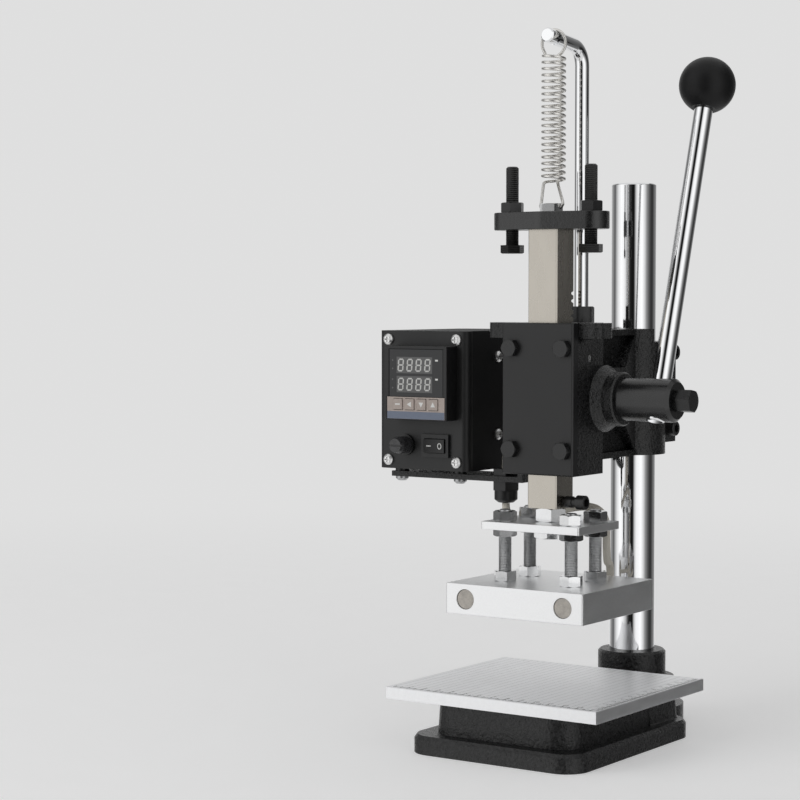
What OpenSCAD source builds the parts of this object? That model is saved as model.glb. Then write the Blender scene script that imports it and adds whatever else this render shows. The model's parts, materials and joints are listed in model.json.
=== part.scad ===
// Hand-lever hot foil stamping machine: cast base and ruled platform, column, geared head, heated block.
// X runs to the viewer's right, Y to the rear, Z up. The ram axis is X = 0, Y = 0 and the bench is Z = 0.

/* [Base casting] */
// Width of the foot flange
foot_w = 122; // [112:1:140]
// Distance from the ram axis to the foot's front edge
foot_front = 73; // [68:1:85]
// Distance from the ram axis to the foot's rear edge
foot_back = 80; // [76:1:88]
// Thickness of the foot flange
foot_h = 11.5; // [9:0.5:16]
// Corner radius of the foot flange
foot_corner = 16; // [10:1:22]
// Width of the plinth under the platform
plinth_w = 104; // [98:1:110]
// Distance from the ram axis to the plinth's front wall
plinth_front = 62; // [58:1:66]
// Distance from the ram axis to the plinth's rear wall
plinth_back = 70; // [60:1:74]
// Corner radius of the plinth
plinth_corner = 19; // [10:1:24]
// Height of the plinth's top face
plinth_top = 32.3; // [28:0.1:40]
// Draft of the plinth's walls
plinth_draft = 1.5; // [0.5:0.5:4]
// Wall thickness of the hollow underside
base_wall = 10; // [8:1:14]
// Thickness of the cross ribs in the underside
base_rib = 10; // [8:1:14]
// Thickness of the plinth's roof
base_roof = 8.3; // [6:0.1:12]
// Outside diameter of the column socket
socket_d = 45; // [42:1:50]
// Height of the column socket's rim above the plinth
socket_rise = 14.7; // [12:0.1:24]
// Radius of the rear lobe around the column
lobe_r = 28; // [26:1:34]
// Width of the flange around the rear lobe
lobe_flange = 6.6; // [4:0.1:12]

/* [Platform] */
// Width of the work platform
platform_w = 150; // [120:1:180]
// Distance from the ram axis to the platform's front edge
platform_front = 73; // [66:1:85]
// Distance from the ram axis to the platform's rear edge
platform_back = 64.5; // [50:0.5:70]
// Thickness of the work platform
platform_t = 7.7; // [7:0.1:12]
// Sideways distance of the platform screws from the centre plane
platform_screw_x = 26; // [18:1:32]
// Distance of the platform screws in front of and behind the cross rib
platform_screw_y = 24; // [16:1:30]

/* [Column] */
// Diameter of the column
column_d = 30; // [25:0.5:32]
// Distance of the column behind the ram axis
column_y = 107; // [100:1:120]
// Length of the column
column_len = 349; // [330:1:420]
// Height of the column's foot above the bench
column_seat = 8; // [6:0.5:12]
// Radial clearance of the clamp bore round the column
column_clear = 0.05; // [0.02:0.01:0.1]

/* [Head casting] */
// Width of the head's body
head_w = 51.4; // [48:0.2:60]
// Height of the head's body
head_h = 94.7; // [90:0.1:110]
// Distance from the ram axis to the back of the head's body
head_back = 21; // [19:0.5:24]
// Height of the head's body above the ram's lower end
head_lift = 21.3; // [16:0.1:30]
// Half width over the stop ears
ear_reach = 41; // [38:0.5:44]
// Thickness of the stop ears
ear_t = 9.6; // [8:0.1:16]
// Set-back of the ears' front face from the body's front face
ear_set = 0.6; // [0.4:0.1:4]
// Distance of the ears' rear face behind the ram axis
ear_back = 8.4; // [7:0.1:12]
// Corner radius of the stop ears
ear_r = 5; // [2:0.5:7]
// Fillet radius under the stop ears
ear_fillet = 4; // [2:0.5:8]
// Thickness of the web in the arm
web_t = 15; // [12:1:20]
// Width of the arm's top and bottom lips
lip_w = 24; // [20:1:30]
// Thickness of the arm's lips
lip_t = 4; // [3:0.5:6]
// Width of the thick middle of the arm
arm_w = 40; // [34:1:42]
// Height of the thick middle of the arm
arm_h = 37; // [34:1:44]
// Length over which the arm flares up to the clamp's height
flare_l = 28; // [18:1:34]
// Outside diameter of the column clamp
clamp_d = 43; // [40:1:52]
// Height of the column clamp
clamp_h = 83; // [70:1:88]
// Height of the clamp's lower face above the body's lower face
clamp_lift = 6.7; // [2:0.1:12]
// Width over the clamp's two ears
clamp_ear_w = 30; // [26:1:36]
// Length of the clamp ears behind the clamp screws
clamp_ear_end = 9.6; // [7:0.1:14]
// Height of the clamp's top face above its rear part
clamp_drop = 8.6; // [4:0.1:14]
// Height of the clamp ears' lower face above the clamp's lower face
clamp_rise = 6.8; // [3:0.1:10]
// Distance from the column axis forward to the step in the clamp's top
clamp_step = 8; // [4:1:12]
// Width of the slit between the clamp ears
clamp_slit = 3; // [2:0.5:5]
// Height between the two clamp screws
clamp_screw_pitch = 51; // [40:1:60]
// Thickness of the front cover plate
cover_t = 6.2; // [4:0.1:8]
// Distance of the cover bolts from the plate's side edges
cover_bolt_side = 7; // [6:0.1:9]
// Distance of the cover bolts from the plate's top and bottom edges
cover_bolt_edge = 15.8; // [12:0.1:20]
// Gap between the ram and its guide on each side
ram_clear = 0.08; // [0.04:0.01:0.12]

/* [Pinion and lever] */
// Module of the pinion and the rack
gear_module = 1.5; // [1.25:0.25:1.5]
// Number of teeth on the pinion
pinion_teeth = 16; // [16:1:16]
// Width of the toothed part of the shaft
pinion_w = 20; // [14:1:21]
// Height of the pinion axis above the body's lower face
pinion_lift = 47; // [42:0.5:52]
// Sideways play of the teeth in the rack
gear_backlash = 0.16; // [0.1:0.02:0.3]
// Running clearance of the shaft in its bores
shaft_clear = 0.06; // [0.02:0.01:0.1]
// Diameter of the shaft's left journal
journal_d = 16; // [12:1:18]
// Radius of the pinion boss at the body
boss_r = 21; // [19:0.5:22]
// Radius of the pinion boss at its outer face
boss_nose_r = 16; // [15:0.5:18]
// Distance of the boss's outer face from the centre plane
boss_reach = 41; // [36:1:46]
// Distance of the hub's end from the centre plane
hub_reach = 78; // [72:1:84]
// Distance of the lever rod from the centre plane
lever_x = 65; // [60:1:68]
// Diameter of the lever rod
lever_d = 12; // [10:0.5:14]
// Length of the lever rod above the pinion axis
lever_len = 204; // [160:1:240]
// Length of the lever rod below the pinion axis
lever_tail = 13.8; // [12:0.1:24]
// Backward lean of the lever at rest in degrees
lever_lean = 17.6; // [0:0.2:25]
// Diameter of the ball knob
ball_d = 36; // [28:1:42]

/* [Ram and stops] */
// Side of the square ram
ram_w = 21; // [20:0.5:22]
// Length of the ram
ram_len = 174; // [165:1:190]
// Length of the toothed part of the ram above the pinion axis
rack_up = 70; // [50:1:80]
// Length of the toothed part of the ram below the pinion axis
rack_down = 8; // [6:1:20]
// Thickness of the crossbar
bar_t = 11; // [8:0.5:14]
// Sideways distance of the stop bolts from the ram axis
stop_x = 28.5; // [27:0.5:30]
// Radius of the crossbar's ends
bar_end_r = 11.5; // [9:0.5:12]
// Radius of the crossbar's middle
bar_mid_r = 16; // [13:0.5:18]
// Drop of the stop bolt's head below the crossbar
stop_drop = 9.3; // [4:0.1:14]
// Length of the stop bolt's shank
stop_len = 49.3; // [40:0.1:60]
// Radial clearance of a plain hole around its bolt
bolt_clear = 0.05; // [0.03:0.01:0.1]

/* [Return spring] */
// Diameter of the bent spring rod
rod_d = 9.2; // [8:0.2:11]
// Distance of the spring rod behind the ram axis
rod_y = 37.8; // [36:0.2:42]
// Height of the rod's bend above the head's arm
rod_rise = 167.2; // [150:0.2:190]
// Radius of the rod's bend
rod_bend_r = 13; // [11:0.5:16]
// Upward tilt of the rod's arm in degrees
rod_tilt = 6; // [2:0.5:10]
// Distance of the rod's tip in front of the ram axis
rod_tip = 6; // [4:0.5:10]
// Wire diameter of the return spring
wire_d = 1.9; // [1.6:0.1:2]
// Outside diameter of the return spring
spring_d = 15.7; // [14:0.1:17]
// Number of turns in the spring's body
spring_turns = 20; // [16:1:22]
// Distance of the spring axis behind the ram axis
spring_y = 2.5; // [1:0.5:4]
// Mean radius of the spring's upper eye
eye_r = 8.4; // [8:0.1:10]
// Depth of the rod's groove in which the eye hangs
rod_groove = 1.2; // [0.8:0.1:1.6]
// Height of the spring's straight legs
leg_len = 16; // [12:0.5:20]

/* [Heated block] */
// Height of the open space between the block and the platform
daylight = 44.6; // [40:0.1:60]
// Width of the heater block
block_w = 98.4; // [80:0.2:110]
// Depth of the heater block
block_d = 88.4; // [70:0.2:100]
// Thickness of the heater block
block_t = 19.1; // [17:0.1:25]
// Diameter of the cartridge heaters
heater_d = 12.4; // [10:0.1:13]
// Sideways distance of the cartridge heaters from the centre plane
heater_x = 35; // [33:0.5:38]
// Height of the space between the block and the connection plate
stud_gap = 32.7; // [28:0.1:40]
// Width of the connection plate
plate_w = 70.7; // [66:0.1:80]
// Depth of the connection plate
plate_d = 50.8; // [48:0.1:60]
// Thickness of the connection plate
plate_t = 5; // [4:0.5:8]
// Sideways distance of the studs from the ram axis
stud_x = 24; // [22:0.5:26]
// Distance of the studs in front of and behind the ram axis
stud_y = 15; // [14:0.5:17]
// Depth of the studs in the block
stud_depth = 12; // [8:0.5:14]
// Height of the coupling nut under the ram
coupling_h = 8.6; // [7:0.1:12]

/* [Control box] */
// Width of the control box
box_w = 70; // [66:1:80]
// Height of the control box
box_h = 90.6; // [88:0.2:100]
// Depth of the control box
box_d = 100; // [90:1:120]
// Free space between the control box and the head
box_gap = 36.3; // [34:0.1:44]
// Drop of the box's underside below the head's underside
box_drop = 1.9; // [0:0.1:4]
// Radius of the box's upright edges
box_corner = 5; // [3:0.5:6]
// Wall thickness of the box
box_wall = 2.2; // [1.6:0.1:3]
// Thickness of the front panel
panel_t = 6; // [5.5:0.5:8]
// Distance of the panel screws from the box's sides
panel_screw_side = 8.4; // [8:0.1:10]
// Distance of the panel screws from the box's top and bottom
panel_screw_edge = 5.7; // [5:0.1:7]
// Width of the panel beside the controller's square bezel, both sides together
bezel_free_w = 22; // [20:0.5:26]
// Height of the panel above and below the bezel together
bezel_free_h = 42.6; // [42:0.1:50]
// Distance that the bezel stands out of the panel
bezel_t = 12; // [8:0.5:14]
// Sideways offset of the controller from the box's middle
bezel_x = 2.7; // [0:0.1:4]
// Height of the panel above the bezel
bezel_top_gap = 9.7; // [8:0.1:10.5]
// Travel of a controller key
key_travel = 0.5; // [0.3:0.1:0.8]
// Sideways offset of the fuse holder from the box's middle
fuse_x = -12.9; // [-14:0.1:-12]
// Sideways offset of the switch from the box's middle
switch_x = 10.8; // [8:0.1:11]
// Height of the fuse holder and the switch above the box's underside
lower_row_edge = 16; // [15.5:0.1:18]
// Thickness of the bracket under the box
bracket_t = 3.5; // [3:0.5:5]
// Depth of the bracket
bracket_d = 32; // [26:1:40]
// Distance of the bracket's front edge behind the ram axis
bracket_y = 8; // [6:0.5:9]
// Height of the spacers between the box and the bracket
spacer_h = 2.4; // [1.5:0.1:5]
// Distance of the cable gland from the centre plane
gland_x = 44; // [42:0.5:46]
// Distance of the cable gland behind the ram axis
gland_y = 18; // [17:0.5:22]

/* [Hidden] */
$fn = 48;
slop = 1;
seat = 0.05;

// Heights, from the bench up
platform_top = plinth_top + platform_t;
block_bot = platform_top + daylight;
block_top = block_bot + block_t;
plate_bot = block_top + stud_gap;
plate_top = plate_bot + plate_t;
ram_bot = plate_top + coupling_h;
ram_top = ram_bot + ram_len;
bar_top = ram_top + bar_t;
head_bot = ram_bot + head_lift;
head_top = head_bot + head_h;
clamp_bot = head_bot + clamp_lift;
clamp_top = clamp_bot + clamp_h;
pinion_z = head_bot + pinion_lift;
socket_top = plinth_top + socket_rise;
column_top = column_seat + column_len;

// Metric fasteners: head width across flats, head height
m4_head_d = 7.2;
m4_head_h = 2.6;
m5_d = 5;
m5_head_d = 8.5;
m6_d = 6;
m6_flats = 10;
m6_head_h = 4;
m6_cap_d = 10;
m8_d = 8;
m8_flats = 13;
m8_head_h = 5.3;
m8_nut_h = 6.5;
m8_thin_nut_h = 4.5;
m12_d = 12;
m12_flats = 18.5;
m12_head_h = 5.6;

// Gearing, with a stub addendum on the rack
pitch_r = gear_module * pinion_teeth / 2;
tip_r = pitch_r + gear_module;
rack_addendum = 0.85 * gear_module;
gear_gap = 0.25 * gear_module;
root_r = pitch_r - rack_addendum - gear_gap;
base_r = pitch_r * cos(20);
gear_pitch = PI * gear_module;
rack_line_y = ram_w / 2 - rack_addendum;
pinion_y = rack_line_y + pitch_r;
hub_r = tip_r;

// Guide and cover
guide_y = ram_w / 2 + ram_clear;
ear_front = guide_y - ear_set;
cover_front = -guide_y - cover_t;

// Head details
boss_land = 2;
gib_z = head_top - 22;
cover_bolt_x = head_w / 2 - cover_bolt_side;
function cover_bolt_z(row) = head_bot + head_h / 2 + row * (head_h / 2 - cover_bolt_edge);
function key_left(i) = bezel_cx + key_step * (i - 1.5) - key_w / 2;
gib_y = 4.7;
web_top_z = clamp_top - lip_t;
rod_boss_d = 19;
rod_nut_flats = 15;
rod_nut_h = 8;
washer_t = 1.6;
washer_d = 17;
rod_seat_depth = 16;
clamp_screw_y = column_y + sqrt(clamp_d * clamp_d - clamp_ear_w * clamp_ear_w) / 2 + m6_cap_d / 2 + 2;
clamp_ear_back = clamp_screw_y + clamp_ear_end - column_y;

// Bent rod and spring
bend_turn = 90 - rod_tilt;
bend_z = clamp_top + rod_rise;
arm_start_y = rod_y - rod_bend_r + rod_bend_r * cos(bend_turn);
arm_start_z = bend_z + rod_bend_r * sin(bend_turn);
arm_len = (arm_start_y + rod_tip) / cos(rod_tilt);
hang_z = arm_start_z + (arm_start_y - spring_y) * tan(rod_tilt);
wire_r = wire_d / 2;
coil_r = (spring_d - wire_d) / 2;
hook_gap = 0.3;
eye_z = hang_z + (rod_d / 2 - rod_groove) / cos(rod_tilt) + hook_gap + wire_r - eye_r;
groove_w = wire_d + 1.2;
groove_at = (arm_start_y - spring_y) / cos(rod_tilt) - groove_w / 2;
hook_z = bar_top + m8_head_h - 2.3;
hook_hole_d = wire_d + 2 * hook_gap;
coil_top = eye_z - eye_r + wire_r;
coil_bot = hook_z + leg_len;

// Control box
box_right = -head_w / 2 - box_gap;
box_mid_x = box_right - box_w / 2;
box_bot = head_bot - box_drop;
box_mid_z = box_bot + box_h / 2;
bracket_top = box_bot - spacer_h;
bracket_leg_h = 40;
bracket_bolt_y = (bracket_y + head_back) / 2;
bracket_screw_y = bracket_y + 5;
bracket_screw_x = [box_mid_x - 25, box_mid_x + 21];
panel_screw_x = box_w / 2 - panel_screw_side;
panel_screw_z = box_h / 2 - panel_screw_edge;
post_edge = 3;
bezel_w = min(box_w - bezel_free_w, box_h - bezel_free_h);
bezel_cx = box_mid_x + bezel_x;
bezel_cz = box_bot + box_h - bezel_top_gap - bezel_w / 2;
bezel_body_w = bezel_w - 3.4;
bezel_body_d = 72;
window_w = bezel_w - 6;
window_t = 1;
strip_h = bezel_w * 5 / 16;
window_h = bezel_w - strip_h - 2;
strip_t = 0.8;
key_step = (window_w - 5.2) / 4;
key_w = key_step - 2.2;
key_h = strip_h - 8;
key_gap = 0.25;
key_out = 0.7;
key_z = bezel_cz - bezel_w / 2 + strip_h - 4.8;
fuse_cx = box_mid_x + fuse_x;
switch_cx = box_mid_x + switch_x;
lower_z = box_bot + lower_row_edge;
switch_w = 21;
switch_h = 15;
switch_body_w = 19;
switch_body_h = 12.6;
rocker_w = 15;
rocker_h = 9;
rocker_tilt = 8;
wall_screw_y = 36;
wall_screw_z = 25.5;
gland_d = 18;
gland_thread_d = 11.9;
gland_h = 16;

// Route of the sleeved lead from the gland to the back of the heater block
lead_d = 5;
lead_route = [
    [-44, 18, 149], [-44, 18, 146.5], [-43.3, 19.1, 142], [-41.3, 22.2, 138.3], [-38.5, 26.4, 137],
    [-34.2, 30.3, 137.5], [-28.5, 31.8, 139], [-21, 32.2, 141.5], [-13, 32.3, 144.3], [-5, 32.1, 146.5],
    [3, 31.6, 148], [11, 31, 148.5], [16.7, 31.1, 147], [21, 31.3, 142.8], [22.5, 31.5, 137],
    [22.5, 31.8, 130], [22.5, 32, 124], [21.9, 33.5, 118], [20.1, 37.5, 113.6], [17.7, 43, 112],
    [15.4, 48.5, 110.4], [13.6, 52.6, 106], [13.07, 53.85, 100.67],
];
// Route of the inner lead from the gland into the box's side wall
lead_hole_y = 61;
lead_hole_z = 200;
box_lead_route = [
    [-44, 18, 170], [-44, 18, 178], [-44, 19, 184], [-44, 22, 190], [-44.5, 27, 195],
    [-45, 34, 198.5], [-46, 42, 200], [-48, 50, 200], [-52, 56, 200], [-57, 60, 200],
    [-64, lead_hole_y, lead_hole_z],
];

// General shapes
module hex(flats, h) {
    cylinder(d = flats / cos(30), h = h, $fn = 6);
}

// Hexagon with both ends turned to a 30 degree chamfer
module hex_blank(flats, h) {
    corner_d = flats / cos(30);
    rim = (corner_d - flats) / 2 * tan(30);
    intersection() {
        hex(flats, h);
        union() {
            cylinder(d1 = flats, d2 = corner_d, h = rim);
            translate([0, 0, rim]) cylinder(d = corner_d, h = h - 2 * rim);
            translate([0, 0, h - rim]) cylinder(d1 = corner_d, d2 = flats, h = rim);
        }
    }
}

module hex_nut(flats, h, hole_d) {
    difference() {
        hex_blank(flats, h);
        translate([0, 0, -slop]) cylinder(d = hole_d, h = h + 2 * slop);
    }
}

// Hexagon bolt head whose top edge is turned to a chamfer, standing on Z = 0
module hex_head(flats, h) {
    corner_d = flats / cos(30);
    rim = (corner_d - flats) / 2 * tan(30);
    intersection() {
        hex(flats, h);
        union() {
            cylinder(d = corner_d, h = h - rim);
            translate([0, 0, h - rim]) cylinder(d1 = corner_d, d2 = flats, h = rim);
        }
    }
}

// Domed screw head with a cross recess, standing on Z = 0
module pan_head(d, h) {
    difference() {
        union() {
            cylinder(d = d, h = h * 0.5);
            translate([0, 0, h * 0.5]) cylinder(d1 = d, d2 = d * 0.62, h = h * 0.5);
        }
        for (turn = [0, 90]) {
            rotate([0, 0, turn]) translate([-d * 0.26, -d * 0.06, h * 0.45]) cube([d * 0.52, d * 0.12, h]);
        }
    }
}

// Round screw head with a hexagon socket, standing on Z = 0
module cap_head(d, h, key) {
    difference() {
        union() {
            cylinder(d = d, h = h - 0.5);
            translate([0, 0, h - 0.5]) cylinder(d1 = d, d2 = d - 1, h = 0.5);
        }
        translate([0, 0, h * 0.45]) hex(key, h);
    }
}

// Flat slab with round corners, from y0 to y1
module round_slab(w, y0, y1, r, h) {
    linear_extrude(h) {
        translate([-w / 2, y0 + r]) square([w, y1 - y0 - 2 * r]);
        translate([-w / 2 + r, y0]) square([w - 2 * r, y1 - y0]);
        for (x = [-w / 2 + r, w / 2 - r]) {
            for (y = [y0 + r, y1 - r]) translate([x, y]) circle(r);
        }
    }
}

// Round bar along a line of points
function unit(v) = v / norm(v);
function heading(p, i) = unit(p[min(i + 1, len(p) - 1)] - p[max(i - 1, 0)]);
function carry(p, i, n) =
    i == len(p) ? []
    : let (t = heading(p, i), m = unit(n - (n * t) * t)) concat([[m, cross(t, m)]], carry(p, i + 1, m));

module tube(p, r, sides, start) {
    frames = carry(p, 0, start);
    last = len(p) - 1;
    rings = [
        for (i = [0 : last])
            for (k = [0 : sides - 1])
                p[i] + r * (cos(360 * k / sides) * frames[i][0] + sin(360 * k / sides) * frames[i][1])
    ];
    walls = [
        for (i = [0 : last - 1])
            for (k = [0 : sides - 1])
                let (a = i * sides + k, b = i * sides + (k + 1) % sides)
                    each [[a, a + sides, b], [b, a + sides, b + sides]]
    ];
    foot = [for (k = [1 : sides - 2]) [0, k, k + 1]];
    end = [for (k = [1 : sides - 2]) [last * sides, last * sides + k + 1, last * sides + k]];
    polyhedron(points = rings, faces = concat(walls, foot, end), convexity = 10);
}

// Base
module foot_outline(inset, h) {
    round_slab(foot_w - 2 * inset, -foot_front + inset, foot_back - inset, foot_corner - inset, h);
}

module lobe_outline(r, h) {
    translate([0, column_y, 0]) cylinder(r = r, h = h);
    translate([-r, plinth_back - plinth_corner, 0]) cube([2 * r, column_y - plinth_back + plinth_corner, h]);
}

module base_casting() {
    edge = 2.5;
    pocket_w = plinth_w / 2 - base_wall - base_rib / 2;
    pocket_front = -plinth_front + base_wall;
    pocket_back = plinth_back - base_wall;
    pocket_mid = (pocket_front + pocket_back) / 2;
    pocket_d = (pocket_back - pocket_front - base_rib) / 2;
    color("#2b2c2d") difference() {
        union() {
            foot_outline(0, foot_h - edge);
            hull() {
                translate([0, 0, foot_h - edge - 0.1]) foot_outline(0, 0.1, $fn = 32);
                translate([0, 0, foot_h - 0.1]) foot_outline(edge * 0.7, 0.1, $fn = 32);
            }
            lobe_outline(lobe_r + lobe_flange, foot_h);
            hull() {
                translate([0, 0, foot_h - 1])
                    round_slab(plinth_w, -plinth_front, plinth_back, plinth_corner, 0.1, $fn = 32);
                translate([0, 0, plinth_top - 0.1])
                    round_slab(plinth_w - 2 * plinth_draft, -plinth_front + plinth_draft,
                        plinth_back - plinth_draft, plinth_corner - plinth_draft, 0.1, $fn = 32);
            }
            lobe_outline(lobe_r, plinth_top - 3);
            translate([0, column_y, 0]) {
                translate([0, 0, plinth_top - 4]) cylinder(d1 = socket_d + 5, d2 = socket_d, h = 3.5);
                cylinder(d = socket_d, h = socket_top - 1.5);
                translate([0, 0, socket_top - 1.5]) cylinder(d1 = socket_d, d2 = socket_d - 3, h = 1.5);
            }
        }
        for (side = [-1, 1]) {
            for (row = [-1, 1]) {
                translate([
                    side * (base_rib / 2 + pocket_w / 2) - pocket_w / 2,
                    pocket_mid + row * (base_rib / 2 + pocket_d / 2) - pocket_d / 2,
                    -slop
                ]) cube([pocket_w, pocket_d, plinth_top - base_roof + slop]);
                translate([side * platform_screw_x, pocket_mid + row * platform_screw_y, 0])
                    cylinder(d = m6_d + 2 * bolt_clear, h = plinth_top + slop);
            }
        }
        translate([0, column_y, column_seat]) cylinder(d = column_d, h = column_len);
        translate([0, column_y, (plinth_top + socket_top) / 2 + 1]) rotate([-90, 0, 0])
            cylinder(d = m8_d, h = socket_d);
    }
}

module column() {
    edge = 1;
    color("#c9ccd0") translate([0, column_y, column_seat]) {
        cylinder(d = column_d, h = column_len - edge);
        translate([0, 0, column_len - edge]) cylinder(d1 = column_d, d2 = column_d - 2 * edge, h = edge);
    }
}

module column_screw() {
    screw_len = socket_d / 2 - column_d / 2 - 0.8;
    color("#3a3b3c")
        translate([0, column_y + column_d / 2, (plinth_top + socket_top) / 2 + 1]) rotate([-90, 0, 0])
            difference() {
                cylinder(d = m8_d, h = screw_len);
                translate([0, 0, screw_len - 3]) hex(4, 4);
            }
}

module work_platform() {
    edge = 0.6;
    pocket_mid = (plinth_back - plinth_front) / 2;
    w = platform_w;
    color("#d9dbdc") difference() {
        union() {
            translate([-w / 2, -platform_front, plinth_top])
                cube([w, platform_front + platform_back, platform_t - edge]);
            hull() {
                translate([-w / 2, -platform_front, platform_top - edge - 0.01])
                    cube([w, platform_front + platform_back, 0.01]);
                translate([-w / 2 + edge, -platform_front + edge, platform_top - 0.01])
                    cube([w - 2 * edge, platform_front + platform_back - 2 * edge, 0.01]);
            }
        }
        for (side = [-1, 1]) {
            for (row = [-1, 1]) {
                translate([side * platform_screw_x, pocket_mid + row * platform_screw_y, plinth_top - slop])
                    cylinder(d = m6_d, h = platform_t - 1.5 + slop);
            }
        }
    }
}

module platform_screws() {
    pocket_mid = (plinth_back - plinth_front) / 2;
    color("#3a3b3c") for (side = [-1, 1]) {
        for (row = [-1, 1]) {
            y = pocket_mid + row * platform_screw_y;
            translate([side * platform_screw_x, y, plinth_top - base_roof]) {
                rotate([180, 0, 0]) cap_head(m6_cap_d, m6_d, 5);
                cylinder(d = m6_d, h = base_roof + platform_t - 2);
            }
        }
    }
}

// Head
module ear_plate() {
    translate([0, 0, head_top - ear_t]) round_slab(2 * ear_reach, -ear_front, ear_back, ear_r, ear_t);
    for (side = [0, 1]) {
        mirror([side, 0, 0]) translate([0, ear_back - ear_r / 2, head_top - ear_t]) rotate([90, 0, 0])
            linear_extrude(ear_back + ear_front - ear_r) difference() {
                translate([head_w / 2 - 1, -ear_fillet]) square([ear_fillet + 1, ear_fillet + 1]);
                translate([head_w / 2 + ear_fillet, -ear_fillet]) circle(ear_fillet);
            }
    }
}

module arm() {
    arm_end = column_y - clamp_d / 2;
    flare_end = arm_end + 3.5;
    mid_bot = pinion_z - arm_h / 2;
    translate([-web_t / 2, head_back - slop, clamp_bot]) cube([web_t, arm_end - head_back + 8, clamp_h]);
    for (z = [clamp_bot, clamp_top - lip_t]) {
        translate([-lip_w / 2, head_back - slop, z]) cube([lip_w, arm_end - head_back + 8, lip_t]);
    }
    translate([-arm_w / 2, head_back - slop, mid_bot])
        cube([arm_w, flare_end - flare_l - head_back + slop, arm_h]);
    hull() {
        translate([-arm_w / 2, flare_end - flare_l - 0.5, mid_bot]) cube([arm_w, 0.5, arm_h]);
        translate([-lip_w / 2 + 0.5, flare_end - 0.5, clamp_bot + lip_t - 1])
            cube([lip_w - 1, 0.5, clamp_h - 2 * lip_t + 2]);
    }
    translate([0, rod_y, clamp_bot]) cylinder(d = rod_boss_d, h = clamp_h);
}

module clamp() {
    difference() {
        translate([0, column_y, clamp_bot]) cylinder(d = clamp_d, h = clamp_h);
        translate([-clamp_d, column_y - clamp_step, clamp_top - clamp_drop])
            cube([2 * clamp_d, clamp_d, clamp_drop + slop]);
    }
    translate([-clamp_ear_w / 2, column_y, clamp_bot + clamp_rise])
        cube([clamp_ear_w, clamp_ear_back, clamp_h - clamp_rise - clamp_drop]);
}

module pinion_boss() {
    side = head_w / 2;
    translate([0, pinion_y, pinion_z]) rotate([0, 90, 0]) {
        translate([0, 0, -side]) cylinder(r = boss_r - 1, h = 2 * side);
        translate([0, 0, side - 1]) cylinder(r = boss_r, h = boss_land + 1);
        translate([0, 0, side + boss_land]) cylinder(r1 = boss_r, r2 = boss_nose_r + 1, h = 6);
        translate([0, 0, side]) cylinder(r = boss_nose_r + 1, h = boss_reach - side - 1);
        translate([0, 0, boss_reach - 1]) cylinder(r1 = boss_nose_r + 1, r2 = boss_nose_r, h = 1);
    }
}

module head_casting() {
    color("#303132") difference() {
        union() {
            translate([-head_w / 2, -guide_y, head_bot]) cube([head_w, head_back + guide_y, head_h]);
            ear_plate();
            arm();
            clamp();
            pinion_boss();
        }
        translate([-guide_y, -guide_y - slop, head_bot - slop])
            cube([2 * guide_y, 2 * guide_y + slop, head_h + 2 * slop]);
        translate([0, pinion_y, pinion_z]) rotate([0, 90, 0]) {
            translate([0, 0, -pinion_w / 2 - 1]) cylinder(r = hub_r + shaft_clear, h = boss_reach + pinion_w);
            translate([0, 0, -head_w]) cylinder(d = journal_d + 2 * shaft_clear, h = head_w);
        }
        translate([0, column_y, clamp_bot - slop])
            cylinder(d = column_d + 2 * column_clear, h = clamp_h + 2 * slop);
        translate([-clamp_slit / 2, column_y, clamp_bot - slop])
            cube([clamp_slit, clamp_ear_back + slop, clamp_h + 2 * slop]);
        for (row = [-1, 1]) {
            translate([-clamp_ear_w, clamp_screw_y, clamp_bot + clamp_h / 2 + row * clamp_screw_pitch / 2])
                rotate([0, 90, 0]) cylinder(d = m6_d, h = 2 * clamp_ear_w);
            for (side = [-1, 1]) {
                translate([side * cover_bolt_x, -guide_y - slop, cover_bolt_z(row)])
                    rotate([-90, 0, 0]) cylinder(d = m6_d, h = 13 + slop);
            }
        }
        translate([0, gib_y, gib_z]) rotate([0, 90, 0]) cylinder(d = m5_d, h = head_w);
        translate([0, rod_y, clamp_top - rod_seat_depth]) cylinder(d = rod_d, h = rod_seat_depth + slop);
        for (row = [0, 1]) {
            translate([-head_w / 2 - slop, bracket_bolt_y, head_bot + 12 + 17 * row])
                rotate([0, 90, 0]) cylinder(d = m5_d, h = 10 + slop);
        }
    }
}

module cover_plate() {
    edge = 1;
    w = head_w / 2;
    color("#38393b") difference() {
        intersection() {
            translate([0, 0, head_bot]) linear_extrude(head_h) polygon([
                [-w, -guide_y], [-w, cover_front + edge], [-w + edge, cover_front],
                [w - edge, cover_front], [w, cover_front + edge], [w, -guide_y],
            ]);
            translate([-head_w, 0, 0]) rotate([90, 0, 90]) linear_extrude(2 * head_w) polygon([
                [-guide_y, head_bot], [cover_front + edge, head_bot], [cover_front, head_bot + edge],
                [cover_front, head_top - edge], [cover_front + edge, head_top], [-guide_y, head_top],
            ]);
        }
        for (side = [-1, 1]) {
            for (row = [-1, 1]) {
                translate([side * cover_bolt_x, cover_front - slop, cover_bolt_z(row)])
                    rotate([-90, 0, 0]) cylinder(d = m6_d + 2 * bolt_clear, h = cover_t + 2 * slop);
            }
        }
    }
}

module cover_bolts() {
    color("#26272a") for (side = [-1, 1]) {
        for (row = [-1, 1]) {
            translate([side * cover_bolt_x, cover_front, cover_bolt_z(row)]) {
                rotate([90, 0, 0]) hex_head(m6_flats, m6_head_h);
                rotate([-90, 0, 0]) cylinder(d = m6_d, h = cover_t + 12);
            }
        }
    }
}

module clamp_screws() {
    color("#26272a") for (row = [-1, 1]) {
        translate([clamp_ear_w / 2, clamp_screw_y, clamp_bot + clamp_h / 2 + row * clamp_screw_pitch / 2]) {
            rotate([0, 90, 0]) cap_head(m6_cap_d, m6_d, 5);
            rotate([0, -90, 0]) cylinder(d = m6_d, h = clamp_ear_w - 2);
        }
    }
}

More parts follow.
